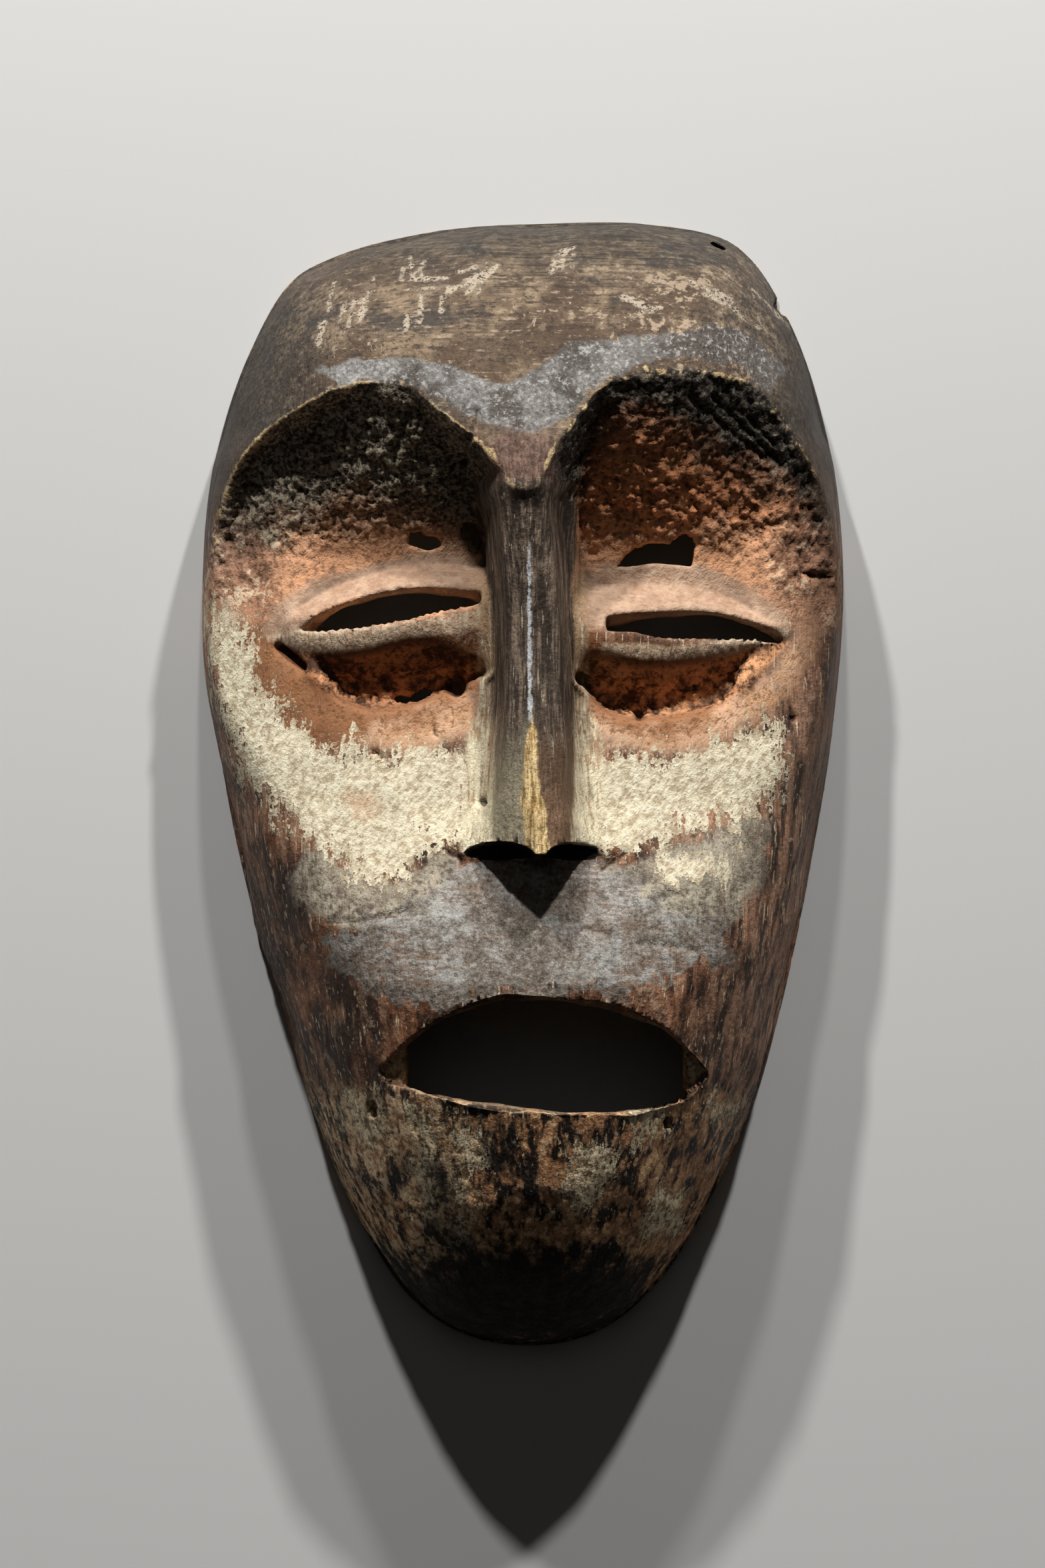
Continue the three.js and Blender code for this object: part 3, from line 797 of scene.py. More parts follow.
# Cracks, worm holes, pits and slips of the knife: two ends, half width and depth of each.
SCARS = [
    (-64.3, 35.9, -58.1, 31, 1, 4), (-14.3, 66.9, -12.2, 62.5, 1.4, 4.5),
    (-17.6, 25.7, -17.2, 25.3, 2, 2.5), (15.6, 28, 15.9, 27.6, 1.2, 2),
    (71.4, 17.6, 71.6, 17.2, 0.9, 1.5), (-11.6, -4, -11.4, -4.6, 0.8, 1.5),
    (30.4, 18.6, 30.7, 18.3, 1.1, 2), (-40.4, -84.4, -40.3, -87, 0.8, 4),
    (39, -88.6, 39, -90.4, 0.7, 3), (-19.5, -17.4, -15.9, -19.8, 0.7, 1.2),
    (20.7, -22.1, 27.2, -17.8, 0.6, 0.9), (73.8, 55.8, 80.9, 54.7, 0.7, 1.5),
    (-51.4, -36.5, -40, -35.6, 0.6, 0.5), (-40, -35.6, -28.9, -32.8, 0.6, 0.6),
    (30.8, -41.3, 38, -42, 0.6, 0.6), (38, -42, 45.5, -43.4, 0.5, 0.5),
    (15.9, -37.5, 25.5, -39.8, 0.5, 0.5), (-23.5, 15, -22.6, 12.6, 0.6, 1),
    (-38.5, 8.4, -36.6, 7, 0.6, 1), (69.6, 127.3, 70, 126.9, 1.6, 2),
    (44, 101, 63, 86, 0.7, 1.2), (50, 101.5, 68, 84, 0.6, 1), (57, 98, 66, 89.5, 0.6, 1),
    (-62, 94, -59.5, 84, 0.8, 1.2), (-12, 98, -15.5, 84, 0.7, 1), (-30, 97, -33, 88, 0.7, 1),
]


def from_line(x, y, ax, ay, bx, by):
    """How far each point is from a line between two ends."""
    ex, ey = bx - ax, by - ay
    t = np.clip(((x - ax) * ex + (y - ay) * ey) / (ex * ex + ey * ey), 0, 1)
    return np.hypot(x - ax - t * ex, y - ay - t * ey)


def scar_depth(x, y):
    """How deep the old damage goes at each point."""
    depth = np.zeros(x.shape)
    for *ends, half_width, deep in SCARS:
        off = from_line(x, y, *ends)
        depth = np.maximum(depth, deep * (1 - step(0.4 * half_width, 1.7 * half_width, off)))
    return depth


def places(points):
    """0 to 1 for each kind of mark, at each point."""
    x, y, z = points.T
    in_hollow = hollow_share(points)
    front = 1 - in_hollow
    brow = outline_field(brow_outline, x, y)
    sunk = front * step(0.5, 2.5, -brow) * step(0, 1.5, blank_height(x, y) - z)
    off_nose = step(0, 3, np.abs(x - nose_middle(y)) - nose_half_width(y) - 2)
    off_nose = np.maximum(off_nose, step(82, 88, y))
    above_lid = step(0, 14, y - lid_top(x))
    in_recess = step(0, 3, lid_foot(x) - 1.5 - y) * step(-1.5, 0.5, y - bag_edge(x))
    inner = 1 - step(54, 64, np.abs(x - NOSE_X))
    crust = sunk * off_nose * np.maximum(above_lid, in_recess * inner)
    strip = sunk * step(-5.5, -3.5, y - lid_foot(x)) * step(-0.5, 1, slit_line(x) - y) * off_nose
    low = 1 - step(-8, 10, y)
    outer = front * (1 - step(-1, 1.5, -brow) * step(20, 30, y))
    rim = step(0.3, 3, z)
    return {
        "in_hollow": in_hollow * rim,
        "crust": crust,
        "strip": strip * inner,
        "adzed": outer * np.maximum(step(84, 96, y), low) * rim,
        "grain": outer * rim * np.maximum(low, 0.4),
        "cheek": front * (1 - crust) * off_nose * (1 - low) * (1 - step(20, 30, y)),
        "scarred": front * scar_depth(x, y),
    }


for name, values in places(read_points(mask)).items():
    store(mask, name, values)
    print(name, "covers", round(float(values.mean()), 3))

# %% The tree of tool marks
marks = bpy.data.node_groups.new("Tool marks", "GeometryNodeTree")
marks.interface.new_socket("Geometry", in_out="INPUT", socket_type="NodeSocketGeometry")
marks.interface.new_socket("Geometry", in_out="OUTPUT", socket_type="NodeSocketGeometry")
MARK_SIZES = {
    "Adze cut size": 19.0,
    "Adze cut depth": 2.0,
    "Hollow cut size": 15.0,
    "Hollow cut depth": 1.3,
    "Crust lump size": 6.0,
    "Crust height": 5.0,
    "Crumb size": 2.6,
    "Crumb height": 1.4,
    "Flute spacing": 2.1,
    "Flute depth": 0.22,
    "Grain depth": 0.6,
    "Cheek lump height": 0.7,
    "Seed": 7.0,
}
ADZE_LEVEL = 0.75  # the value of each pattern that leaves the wood where it is
HOLLOW_LEVEL = 0.4
GRAIN_LEVEL = 0.62
for name, value in MARK_SIZES.items():
    socket = marks.interface.new_socket(name, in_out="INPUT", socket_type="NodeSocketFloat")
    socket.default_value = value
marks.interface.new_socket("Wood", in_out="INPUT", socket_type="NodeSocketMaterial")

t = Tree(marks)
start = {socket.name: Value(t, socket) for socket in marks.nodes.new("NodeGroupInput").outputs}
millimetres = t.add(
    "ShaderNodeVectorMath", t.add("GeometryNodeInputPosition"), settings={"operation": "SCALE"},
    Scale=1 / MM,
)
here = t.add("ShaderNodeVectorMath", millimetres, start["Seed"])


def where(name):
    return t.add("GeometryNodeInputNamedAttribute", settings={"data_type": "FLOAT"}, Name=name)


def scoops(size, flatten):
    """Shallow bowls side by side, as an adze leaves them: 0 at a bowl's middle."""
    bent = t.add("ShaderNodeVectorMath", here, t.add(
        "ShaderNodeTexNoise", out=1, Vector=here, Scale=0.04, Detail=1.0
    ))
    cells = t.add(
        "ShaderNodeTexVoronoi", settings={"feature": "F1"},
        Vector=t.stretch(bent, flatten), Scale=1.0 / size, Randomness=0.9,
    )
    return t.math("POWER", cells, 2.0)


adzed = where("adzed") * start["Adze cut depth"]
adzed *= scoops(start["Adze cut size"], (1, 0.75, 0.6)) - ADZE_LEVEL
hollowed = where("in_hollow") * start["Hollow cut depth"]
hollowed *= scoops(start["Hollow cut size"], (1.3, 0.6, 1)) - HOLLOW_LEVEL
crust = where("crust") * start["Crust height"]
crust *= t.noise(here, start["Crust lump size"], 4.0, 0.68)
crumb = where("crust") * start["Crumb height"]
crumb *= abs(4.0 * t.noise(here, start["Crumb size"], 2.0, 0.6))
phase = 2 * math.pi * (t.add("ShaderNodeSeparateXYZ", millimetres) / start["Flute spacing"])
phase += 14.0 * t.noise(here, 9.0, 2.0, 0.6)
flutes = where("strip") * start["Flute depth"] * t.math("SINE", phase)
grain = where("grain") * start["Grain depth"]
grain *= 2.0 * t.noise(here, 1.0, 4.0, 0.65, stretch=(0.5, 0.035, 0.5), middle=GRAIN_LEVEL)
cheek = where("cheek") * start["Cheek lump height"] * t.noise(here, 9.0, 4.0, 0.6)
height = adzed + hollowed + crust + crumb + flutes + grain + cheek - where("scarred")
offset = t.add(
    "ShaderNodeVectorMath", t.add("GeometryNodeInputNormal"), settings={"operation": "SCALE"},
    Scale=height * MM,
)
moved = t.add("GeometryNodeSetPosition", Geometry=start["Geometry"], Offset=offset)
single = t.add("GeometryNodeRealizeInstances", Geometry=moved)
painted = t.add("GeometryNodeSetMaterial", Geometry=single, Material=start["Wood"])
t.add("NodeGroupOutput", Geometry=painted)

wood_material = bpy.data.materials.new("patinated_wood")
wood_material.use_nodes = True

MOST_TRIANGLES = 197000
carve = mask.modifiers.new("Tool marks", "NODES")
carve.node_group = marks
identifiers = {item.name: item.identifier for item in marks.interface.items_tree}
carve[identifiers["Wood"]] = wood_material
for name, value in MARK_SIZES.items():
    carve[identifiers[name]] = value
thin = mask.modifiers.new("Fewer faces", "DECIMATE")
thin.ratio = MOST_TRIANGLES / (2 * len(quads))
finished = bpy.data.meshes.new_from_object(
    mask.evaluated_get(bpy.context.evaluated_depsgraph_get())
)
mask.modifiers.clear()
mask.data = finished
finished.name = "patinated_mask"
finished.shade_smooth()
inside_box = np.clip(read_points(mask) * MM, *(np.array(corner) for corner in cad_box))
finished.vertices.foreach_set("co", inside_box.astype(np.float32).ravel())
finished.update()
print("finished mesh:", len(finished.polygons), "faces")

# %% [markdown]
# ## Where the paint is
# Soot, red earth, clay and white kaolin were rubbed on in zones, and they meet along ragged edges.
# Each zone is an outline drawn over the face. Each point of the mesh stores its distance to the
# outline, below zero inside, and the material breaks the edge up with noise.

# %% Zones of paint, in millimetres seen from the front
ZONES = {
    # The brows' dark glossy patina, where paler colour is painted in as its sheen.
    "brow_gloss": [
        [(-53.7, 108.4), (-46.6, 110.7), (-37.2, 112.4), (-24.1, 110.7), (-14.7, 107.7),
         (-4.1, 104.5), (4.3, 108.9), (14.9, 114.2), (27.8, 117.2), (44.3, 119.5), (54.9, 120.1),
         (63.2, 116), (70.3, 110.1), (65, 101.8), (56.1, 108.9), (43.7, 112.4), (31.3, 109.8),
         (17.2, 101.8), (11, 94.7), (3, 90.3), (-4.1, 92.1), (-12, 94.7), (-21.8, 101.8),
         (-28.9, 104.5), (-39.5, 105.4), (-50.1, 103.6)],
    ],
    "lid_clay": [
        [(-68.7, 39.8), (-64.3, 47.8), (-55.4, 53.7), (-43, 57), (-28.9, 60.7), (-20.9, 61.4),
         (-12.6, 60), (-10.4, 55.8), (-10.4, 48.7), (-21.8, 50.5), (-32.4, 49.9), (-43, 48.7),
         (-50.1, 46.6), (-53.7, 44.8), (-58.1, 41.3), (-64.3, 38.4)],
        [(21.6, 57.9), (27.8, 58.6), (38.4, 58.3), (46.4, 58.3), (54.4, 54.7), (61.4, 50.8),
         (68.5, 45.5), (72.4, 41.6), (69.4, 40.2), (56.1, 43), (45.5, 43.7), (38.4, 43.2),
         (27.8, 42.1), (22.1, 40.7), (16.8, 40.7), (15.1, 48.7), (16.8, 56.1)],
    ],
    "lid_strip": [
        [(-68.7, 38.4), (-60.7, 41.3), (-53.7, 40.9), (-39.5, 41.3), (-25.3, 43.4), (-10.4, 46),
         (-10.4, 42), (-16.5, 39), (-25.3, 39), (-32.4, 38.1), (-39.5, 35.4), (-50.1, 34.5),
         (-59, 35.2)],
        [(20.7, 37), (31.3, 36.7), (38.4, 35.9), (45.5, 37), (56.1, 38.3), (69.9, 41.1),
         (71, 39.3), (63.2, 36.7), (56.1, 33.8), (45.5, 32.8), (38.4, 32.4), (27.8, 33.5),
         (20, 33.6)],
    ],
    "orange": [
        [(-72.8, 35.4), (-69.6, 29.2), (-63.4, 21.3), (-55.4, 15.1), (-43, 10.6), (-32.4, 8.9),
         (-21.8, 9.4), (-13.8, 12.4), (-10.8, 22.1), (-10.4, 32.8), (-13.8, 33.6), (-16.5, 27.4),
         (-25.3, 23.9), (-32.4, 21.3), (-39.5, 20.4), (-53.7, 22.1), (-59, 31), (-63.4, 35.4),
         (-67.8, 38.1)],
        [(16.5, 33.6), (15.1, 20.4), (17.2, 10.6), (29.6, 8.3), (40.2, 8.3), (49.1, 10.4),
         (57.9, 14.2), (66.8, 22.1), (73.8, 31), (75.6, 39.8), (71.2, 38.6), (63.2, 28.3),
         (52.6, 21.3), (38.4, 19.1), (21.6, 20.4), (18.1, 28.3)],
    ],
    "kaolin": [
        [(-82.3, 47.8), (-77.6, 46), (-71.4, 40.7), (-71.7, 33.6), (-68.2, 24.8), (-60.7, 15.9),
         (-50.1, 11.2), (-39.5, 8), (-28.9, 8), (-18.2, 11.2), (-9, 15.1), (-9.5, -11.5),
         (-15.6, -14.7), (-23.6, -15.4), (-28.9, -20.4), (-32.4, -26.6), (-39.5, -27.4),
         (-44.8, -24.3), (-50.1, -20.7), (-53.7, -17.2), (-56.3, -15.4), (-61.6, -11.2),
         (-66.9, -5.3), (-72.3, 0), (-75.8, 9.7), (-78.4, 19.5), (-81.6, 30.1), (-83.1, 39.8)],
        [(12, 11.6), (20.7, 8.9), (31.3, 7.6), (40.2, 7.6), (49.1, 9.7), (56.1, 12.4),
         (64.1, 15.9), (68.9, 12.4), (66.8, 2.7), (64.1, -4.4), (57.9, -7.1), (54.4, -11.2),
         (45.5, -9.4), (42, -12.4), (31.3, -15.9), (26, -18.2), (19.7, -17.3), (15.2, -12.4),
         (12.6, -0.9)],
        [(37.5, -20.4), (47.3, -18.2), (56.1, -18.9), (54, -23.2), (45.5, -25.3), (38.4, -24.3)],
    ],
    # The muzzle's glossy patina, where paler colour is painted in as its sheen.
    "lip_gloss": [
        [(-53.7, -39.8), (-39.5, -34.9), (-28.9, -31), (-18.2, -21.5), (-9.4, -17), (15.4, -17),
         (26, -22.5), (40.2, -31), (52.6, -37.2), (57.9, -45.2), (47.3, -47.8), (38.4, -52.2),
         (29.6, -56.1), (15.4, -54.7), (3, -54), (-11.2, -54.7), (-23.6, -57.9), (-32.4, -55.8),
         (-41.3, -50.8), (-50.1, -46.9)],
    ],
    "chin_pale": [
        [(-46.6, -80.6), (-39.5, -82.3), (-35.6, -89.4), (-37.4, -97.4), (-41.6, -96.9),
         (-45.9, -89.4)],
        [(-29.2, -84.1), (-22.7, -85), (-21.4, -96.5), (-20.4, -110.7), (-23.6, -116),
         (-26.7, -108.9), (-28.9, -96.5)],
        [(-19.7, -90.3), (-10.8, -91.2), (-9.7, -99.7), (-16.5, -100.9)],
        [(-20.4, -102.2), (-14.7, -103.6), (-12.2, -112.4), (-14.7, -119.5), (-18.9, -116)],
        [(26.9, -82.7), (37.5, -82), (36.7, -93), (29.6, -95.1)],
        [(13.6, -95.1), (25.1, -96.2), (20.7, -108.9), (12.8, -113.3), (10.4, -105.4)],
        [(35.8, -105.4), (42.3, -108), (41.1, -117.8), (32.2, -121.7), (30.5, -116)],
        [(49.1, -82.3), (57, -84.1), (54.4, -89.4), (49.4, -88)],
    ],
    # The near black of the chin: streaks of dark patina, and at the bottom dark patina with painted
    # shade.
    "chin_black": [
        [(-50.1, -126.6), (-39.5, -121.3), (-28.9, -124.8), (-18.2, -121.3), (-4.1, -119.5),
         (13.6, -121.3), (26, -123.1), (36.7, -124.8), (31.3, -144.3), (13.6, -153.2),
         (-14.7, -153.2), (-35.9, -144.3)],
        [(-24.4, -85.9), (-19.7, -86.8), (-18.2, -100.1), (-19.7, -117.8), (-23.2, -117.8),
         (-25.3, -100.1)],
        [(-9.7, -82.3), (-4.1, -84.1), (-2.3, -100.1), (-7.6, -103.6), (-9.7, -93)],
    ],
    "worn_wedge": [
        [(2.5, 18.2), (3.5, 13.3), (4.1, 4.4), (5.7, -4.4), (7.3, -17.7), (5.1, -20), (2.7, -20),
         (0.7, -15.4), (-0.4, -4.4), (0.2, 4.4), (1.2, 11.5)],
    ],
    "red_patch": [
        [(-46.6, -3.5), (-39.5, -2.7), (-35.1, -6.2), (-37.7, -9.4), (-44.8, -9)],
    ],
    "matt_grey": [
        [(-57, -15), (-48, -20), (-40, -26), (-32, -25), (-24, -19), (-17, -19), (-15, -24),
         (-19, -33), (-27, -38), (-36, -40), (-48, -39), (-57, -33), (-61, -24)],
        [(17, -19), (24, -21), (34, -19), (42, -15), (50, -12), (58, -9), (64, -10), (63, -22),
         (60, -32), (52, -39), (42, -42), (31, -38), (23, -31), (18, -25)],
    ],
}
# Strokes scraped down to fresher wood: two ends and half width of each.
STROKES = [
    (-53.6, 115.2, -52.2, 121, 0.9), (-48, 120.8, -46.4, 126.5, 0.5),
    (-45.6, 120.4, -44, 127, 0.6), (-43, 121.6, -40.6, 128.7, 0.9), (-49.5, 132, -51, 125, 0.6),
    (-38.4, 129, -39.5, 133, 0.4), (-32, 131.5, -31.2, 138.2, 0.4),
    (-28.6, 132.4, -29.6, 138.6, 0.6), (-26.8, 133, -26, 137.6, 0.3),
    (-32.4, 132.4, -19.8, 132.9, 0.5), (-31.2, 129.7, -17.4, 130.4, 0.5),
    (-33, 128, -24.1, 128.6, 0.3), (-26.5, 128.5, -27.1, 121, 0.7),
    (-30, 122.6, -31.4, 115.1, 0.6), (-21.2, 127.3, -21, 124.3, 0.5),
    (-19.4, 129, -10, 133.7, 0.9), (-14.7, 128.7, -6.5, 136.2, 0.9), (-12, 128.4, -9.5, 135, 0.6),
    (-17, 134.5, -8, 137.4, 0.5), (1.8, 130.7, 1.2, 126.1, 0.6), (8.9, 140.2, 7.7, 134.5, 0.6),
    (11.2, 141.4, 10, 135.1, 0.8), (13.6, 142, 13.2, 135.8, 0.5), (43, 132.5, 55, 127.4, 0.8),
    (46, 129.5, 58, 124, 0.5), (26, 128, 34, 124.6, 0.8), (28, 122, 36, 125, 0.7),
    (57, 123, 67, 117.6, 0.3), (60, 131, 71, 121, 0.3), (12.5, -107.8, 1, -101.6, 0.25),
    (4, -116, 12, -109, 0.3), (-10.5, -112, -15.5, -119.5, 0.2), (-17, -124, -25, -113, 0.2),
    (-24.5, -90, -9, -85.6, 0.25), (-64, -36, -54, -50, 0.1), (8, -86, 16, -94, 0.1),
    (-3, -93, 4, -97.5, 0.15),
]
SOOT_EDGE = through([
    (-84, 52), (-70, 62), (-58, 70), (-40, 71), (-25, 69), (-12, 60), (3, 60), (12, 68),
    (22, 94), (38, 94), (50, 86), (60, 80), (70, 74), (84, 58),
])


# %% Paint on each point
BULGE_ROUNDS = 12
BULGE_SHARE = 0.6


def zone(outlines, x, y):
    nearest = np.full(x.shape, 1e3, np.float32)
    for outline in outlines:
        nearest = np.minimum(nearest, outline_field(outline, x, y))
    return nearest


def stroke_distance(x, y):
    nearest = np.full(x.shape, 1e3, np.float32)
    for *ends, half_width in STROKES:
        nearest = np.minimum(nearest, from_line(x, y, *ends) - half_width)
    return nearest


def bulge(piece):
    """How far each point stands out from its surroundings, in millimetres."""
    points = read_points(piece)
    edges = np.empty(2 * len(piece.data.edges), np.int32)
    piece.data.edges.foreach_get("vertices", edges)
    smooth = points
    for _ in range(BULGE_ROUNDS):
        mean = neighbour_mean(smooth, edges.reshape(-1, 2))
        smooth = (1 - BULGE_SHARE) * smooth + BULGE_SHARE * mean
    return ((points - smooth) * read(piece, "normal")).sum(1)


points = read_points(mask)
px, py, pz = points.T
nose_end = 6 * step(79, 81, py) + 6 * step(0, 1.5, NOSE_TIP_Y - py)
# The nostril scoops, which are painted near black as the shadow under the nose.
nostril_reach = np.minimum(*[
    np.hypot((px - middle) / half_width, (py - NOSE_TIP_Y) / NOSTRIL_RISE)
    for middle, half_width in NOSTRILS
])
nostril_reach += 0.3 * np.maximum(pz - NOSTRIL_HEIGHT, 0) + np.maximum(NOSE_TIP_Y - py, 0)
paint = {
    "hidden": hollow_share(points),
    "brow": outline_field(brow_outline, px, py),
    "above_soot": py - SOOT_EDGE(px),
    "recess": np.maximum(py - lid_foot(px), bag_edge(px) - py),
    "nose_across": np.abs(px - nose_middle(py)) + 6 * nose_end,
    "ridge_off": np.abs(px - nose_ridge(py)),
    "mouth": outline_field(mouth_lens, px, py),
    "strokes": stroke_distance(px, py),
    "nostrils": nostril_reach,
    "bulge": bulge(mask),
    **{name: zone(outlines, px, py) for name, outlines in ZONES.items()},
}
for name, values in paint.items():
    store(mask, name, values)
del hollow

# %% [markdown]
# ## The painted wood
# One material holds the history of the surface, in the order in which it was made: the wood,
# then smoke and handling, then the earth paints, then wear that brings the wood back at the edges.
# Over these it paints sheen on the patina, a highlight on the nose ridge, and shade in the
# nostrils, the hollows and under the chin.

# %% The material
wood_material.node_tree.nodes.clear()
t = Tree(wood_material.node_tree)
place = t.add("ShaderNodeTexCoord", out=3)
here = t.add("ShaderNodeVectorMath", place, settings={"operation": "SCALE"}, Scale=1 / MM)
along_x, along_y = (t.add("ShaderNodeSeparateXYZ", here, out=axis) for axis in range(2))


def attribute(name):
    return t.add("ShaderNodeAttribute", settings={"attribute_name": name}, out=2)


def mix(share, a, b):
    """A colour between a and b."""
    a, b = ((*colour, 1) if isinstance(colour, tuple) else colour for colour in (a, b))
    return t.add(
        "ShaderNodeMix", settings={"data_type": "RGBA"}, slots={0: share, 6: a, 7: b}, out=2
    )


def tones(value, low, high, dark, light):
    """One colour where a value is low, and another where it is high."""
    return mix(value.step(low, high), dark, light)


def coats(colour, *over):
    """Coats of paint over a first colour, each with the share that it covers."""
    for share, coat in over:
        colour = mix(share, colour, coat)
    return colour


def blend(share, a, b):
    """A number between a and b."""
    return share * (b - a) + a


coarse = t.noise(here, 9.0, 6.0, 0.6)
fine = t.noise(here, 2.2, 4.0, 0.68)
patches = t.noise(here, 26.0, 6.0, 0.62)
stipple = t.noise(here, 1.1, 3.0, 0.7)
grain_up = t.noise(here, 1.0, 5.0, 0.7, stretch=(0.9, 0.06, 0.9))
grain_across = t.noise(here, 1.0, 5.0, 0.7, stretch=(0.06, 0.9, 0.9))
streaks = t.noise(here, 1.0, 5.0, 0.6, stretch=(0.3, 0.045, 0.3))
flecks = t.noise(here, 1.0, 2.0, 0.6, stretch=(1.2, 0.1, 1.2))
turned = t.add(
    "ShaderNodeVectorRotate", here, settings={"rotation_type": "Z_AXIS"}, Angle=math.radians(38)
)
scratchy = t.noise(turned, 1.0, 3.0, 0.7, stretch=(1.1, 0.28, 0.8))


def covers(name, ragged, speckle, soft, streak=0.0, dust=0.0):
    """1 inside a zone and 0 outside, with a ragged and speckled edge."""
    distance = attribute(name) + 2 * ragged * coarse + 2 * speckle * fine
    if streak:
        distance += streak * (streaks + grain_up)
    if dust:
        distance += 2 * dust * stipple
    return ~distance.step(-soft, soft)


outside_brow = attribute("brow").step(-0.5, 0.8)
sunk = ~outside_brow
PALE_FLECK = (0.66, 0.5, 0.33)

# The bare and handled wood of the jaws.
jaw = coats(
    tones(patches + 0.8 * streaks, -0.12, 0.14, (0.045, 0.022, 0.013), (0.27, 0.11, 0.05)),
    (0.6 * streaks.step(0.03, 0.12), (0.32, 0.2, 0.125)),
    (0.5 * coarse.step(0.06, 0.16), (0.06, 0.045, 0.036)),
    (0.7 * (fine + coarse).step(0.16, 0.24), (0.4, 0.29, 0.19)),
    (0.65 * along_x.step(15.0, 55.0) * streaks.step(-0.1, 0.1), (0.46, 0.25, 0.15)),
    (0.85 * flecks.step(0.12, 0.16), PALE_FLECK),
)

# The weathered forehead, with scratches and strokes down to fresher wood.
scratch_one = t.noise(here, 1.0, 4.0, 0.75, stretch=(0.5, 0.11, 0.3))
scratch_two = t.noise(here, 1.0, 4.0, 0.75, stretch=(0.09, 0.6, 0.3))
scratches = scratch_one.step(0.12, 0.15) | scratch_two.step(0.13, 0.16)
scratches *= t.noise(here, 30.0, 2.0).step(-0.03, 0.08)
crumbled = (fine + 1.2 * coarse).step(0.13, 0.19) * along_x.step(-10.0, 35.0)
crumbled = 0.8 * scratches | 0.7 * crumbled
strokes = covers("strokes", 1.5, 1.8, 0.25) * stipple.step(-0.12, -0.04)
far_up = along_y.step(126.0, 148.0) | abs(along_x - 4.0).step(46.0, 72.0)
brown = coats(
    tones(coarse + 0.8 * grain_across, -0.2, 0.2, (0.075, 0.05, 0.032), (0.24, 0.17, 0.105)),
    (0.85 * (patches + 0.3 * grain_across).step(-0.03, 0.08), (0.07, 0.042, 0.024)),
    (0.7 * (patches + coarse).step(-0.08, -0.2), (0.036, 0.032, 0.027)),
    (0.65 * (grain_across + 0.7 * fine).step(-0.04, -0.14), (0.03, 0.02, 0.015)),
    (0.6 * (grain_across + fine).step(0.12, 0.22), (0.36, 0.28, 0.2)),
    (0.9 * crumbled * along_y.step(96.0, 112.0), (0.42, 0.32, 0.22)),
    (0.85 * far_up, tones(fine + grain_across, -0.1, 0.2, (0.013, 0.01, 0.007),
                          (0.068, 0.053, 0.036))),
    (0.85 * strokes, (0.42, 0.34, 0.25)),
)

# Zones of the sunk face.
rust = coats(
    tones(coarse + fine, -0.25, 0.2, (0.26, 0.085, 0.032), (0.82, 0.34, 0.145)),
    (0.75 * (along_y + 30 * coarse).step(76.0, 58.0), (0.62, 0.34, 0.19)),
)
# Soot in the upper sockets, lighter on the left: its greyer tone there, and painted light where the
# brow's shadow falls.
soot_and_painted_light = mix(
    along_x.step(0.0, -30.0),
    tones(fine + stipple, -0.1, 0.25, (0.014, 0.011, 0.009), (0.15, 0.125, 0.09)),
    tones(fine + stipple, -0.15, 0.2, (0.07, 0.052, 0.036), (0.42, 0.35, 0.25)),
)
soot_edge = attribute("above_soot") + 34 * coarse + 12 * fine
upper = sunk * along_y.step(38.0, 46.0)
temple = upper * abs(along_x).step(58.0, 72.0) * along_y.step(76.0, 62.0)
outwards = 12 * along_x.step(44.0, 60.0) - 17 * along_x.step(-36.0, -58.0)
near_recess = ~(attribute("recess") + 14 * coarse + outwards).step(1.0, 9.0)
on_kaolin = covers("kaolin", 11.0, 8.0, 0.5, streak=14.0, dust=6.0)
on_clay = covers("lid_clay", 2.0, 1.5, 1.4)
on_strip = covers("lid_strip", 1.0, 1.0, 0.8)
recess = mix(
    along_x.step(10.0, 26.0),
    tones(coarse + fine, -0.15, 0.2, (0.07, 0.025, 0.01), (0.6, 0.27, 0.12)),
    tones(coarse + fine, -0.2, 0.15, (0.1, 0.036, 0.016), (0.74, 0.36, 0.17)),
)
clay = coats(
    tones(coarse + 0.8 * fine, -0.2, 0.2, (0.34, 0.205, 0.13), (0.46, 0.31, 0.21)),
    (0.4 * grain_across.step(0.06, 0.16), (0.52, 0.4, 0.28)),
)
base = coats(
    mix(along_y.step(60.0, 96.0), jaw, brown),
    (upper, mix(soot_edge.step(-14.0, 9.0), rust, soot_and_painted_light)),
    (0.7 * temple, tones(fine + coarse, 0.05, 0.15, (0.24, 0.12, 0.075), (0.55, 0.44, 0.3))),
    (covers("matt_grey", 8.0, 3.0, 1.5, streak=3.0),
     tones(coarse + fine, -0.2, 0.25, (0.2, 0.155, 0.11), (0.46, 0.4, 0.3))),
    (covers("orange", 7.0, 5.0, 3.5, dust=2.0),
     tones(coarse + fine, -0.15, 0.2, (0.5, 0.27, 0.14), (0.66, 0.42, 0.27))),
    (0.85 * sunk * near_recess * ~upper, (0.22, 0.085, 0.03)),
    (on_kaolin, tones(0.8 * scratchy + fine, -0.2, 0.14, (0.42, 0.33, 0.21), (0.7, 0.63, 0.46))),
    (0.5 * covers("red_patch", 5.0, 4.0, 2.5), (0.6, 0.36, 0.21)),
    (on_clay, clay),
    (on_strip, tones(flecks + fine, -0.2, 0.15, (0.4, 0.25, 0.16), (0.56, 0.43, 0.29))),
    (sunk * covers("recess", 1.5, 1.5, 1.2), recess),
)
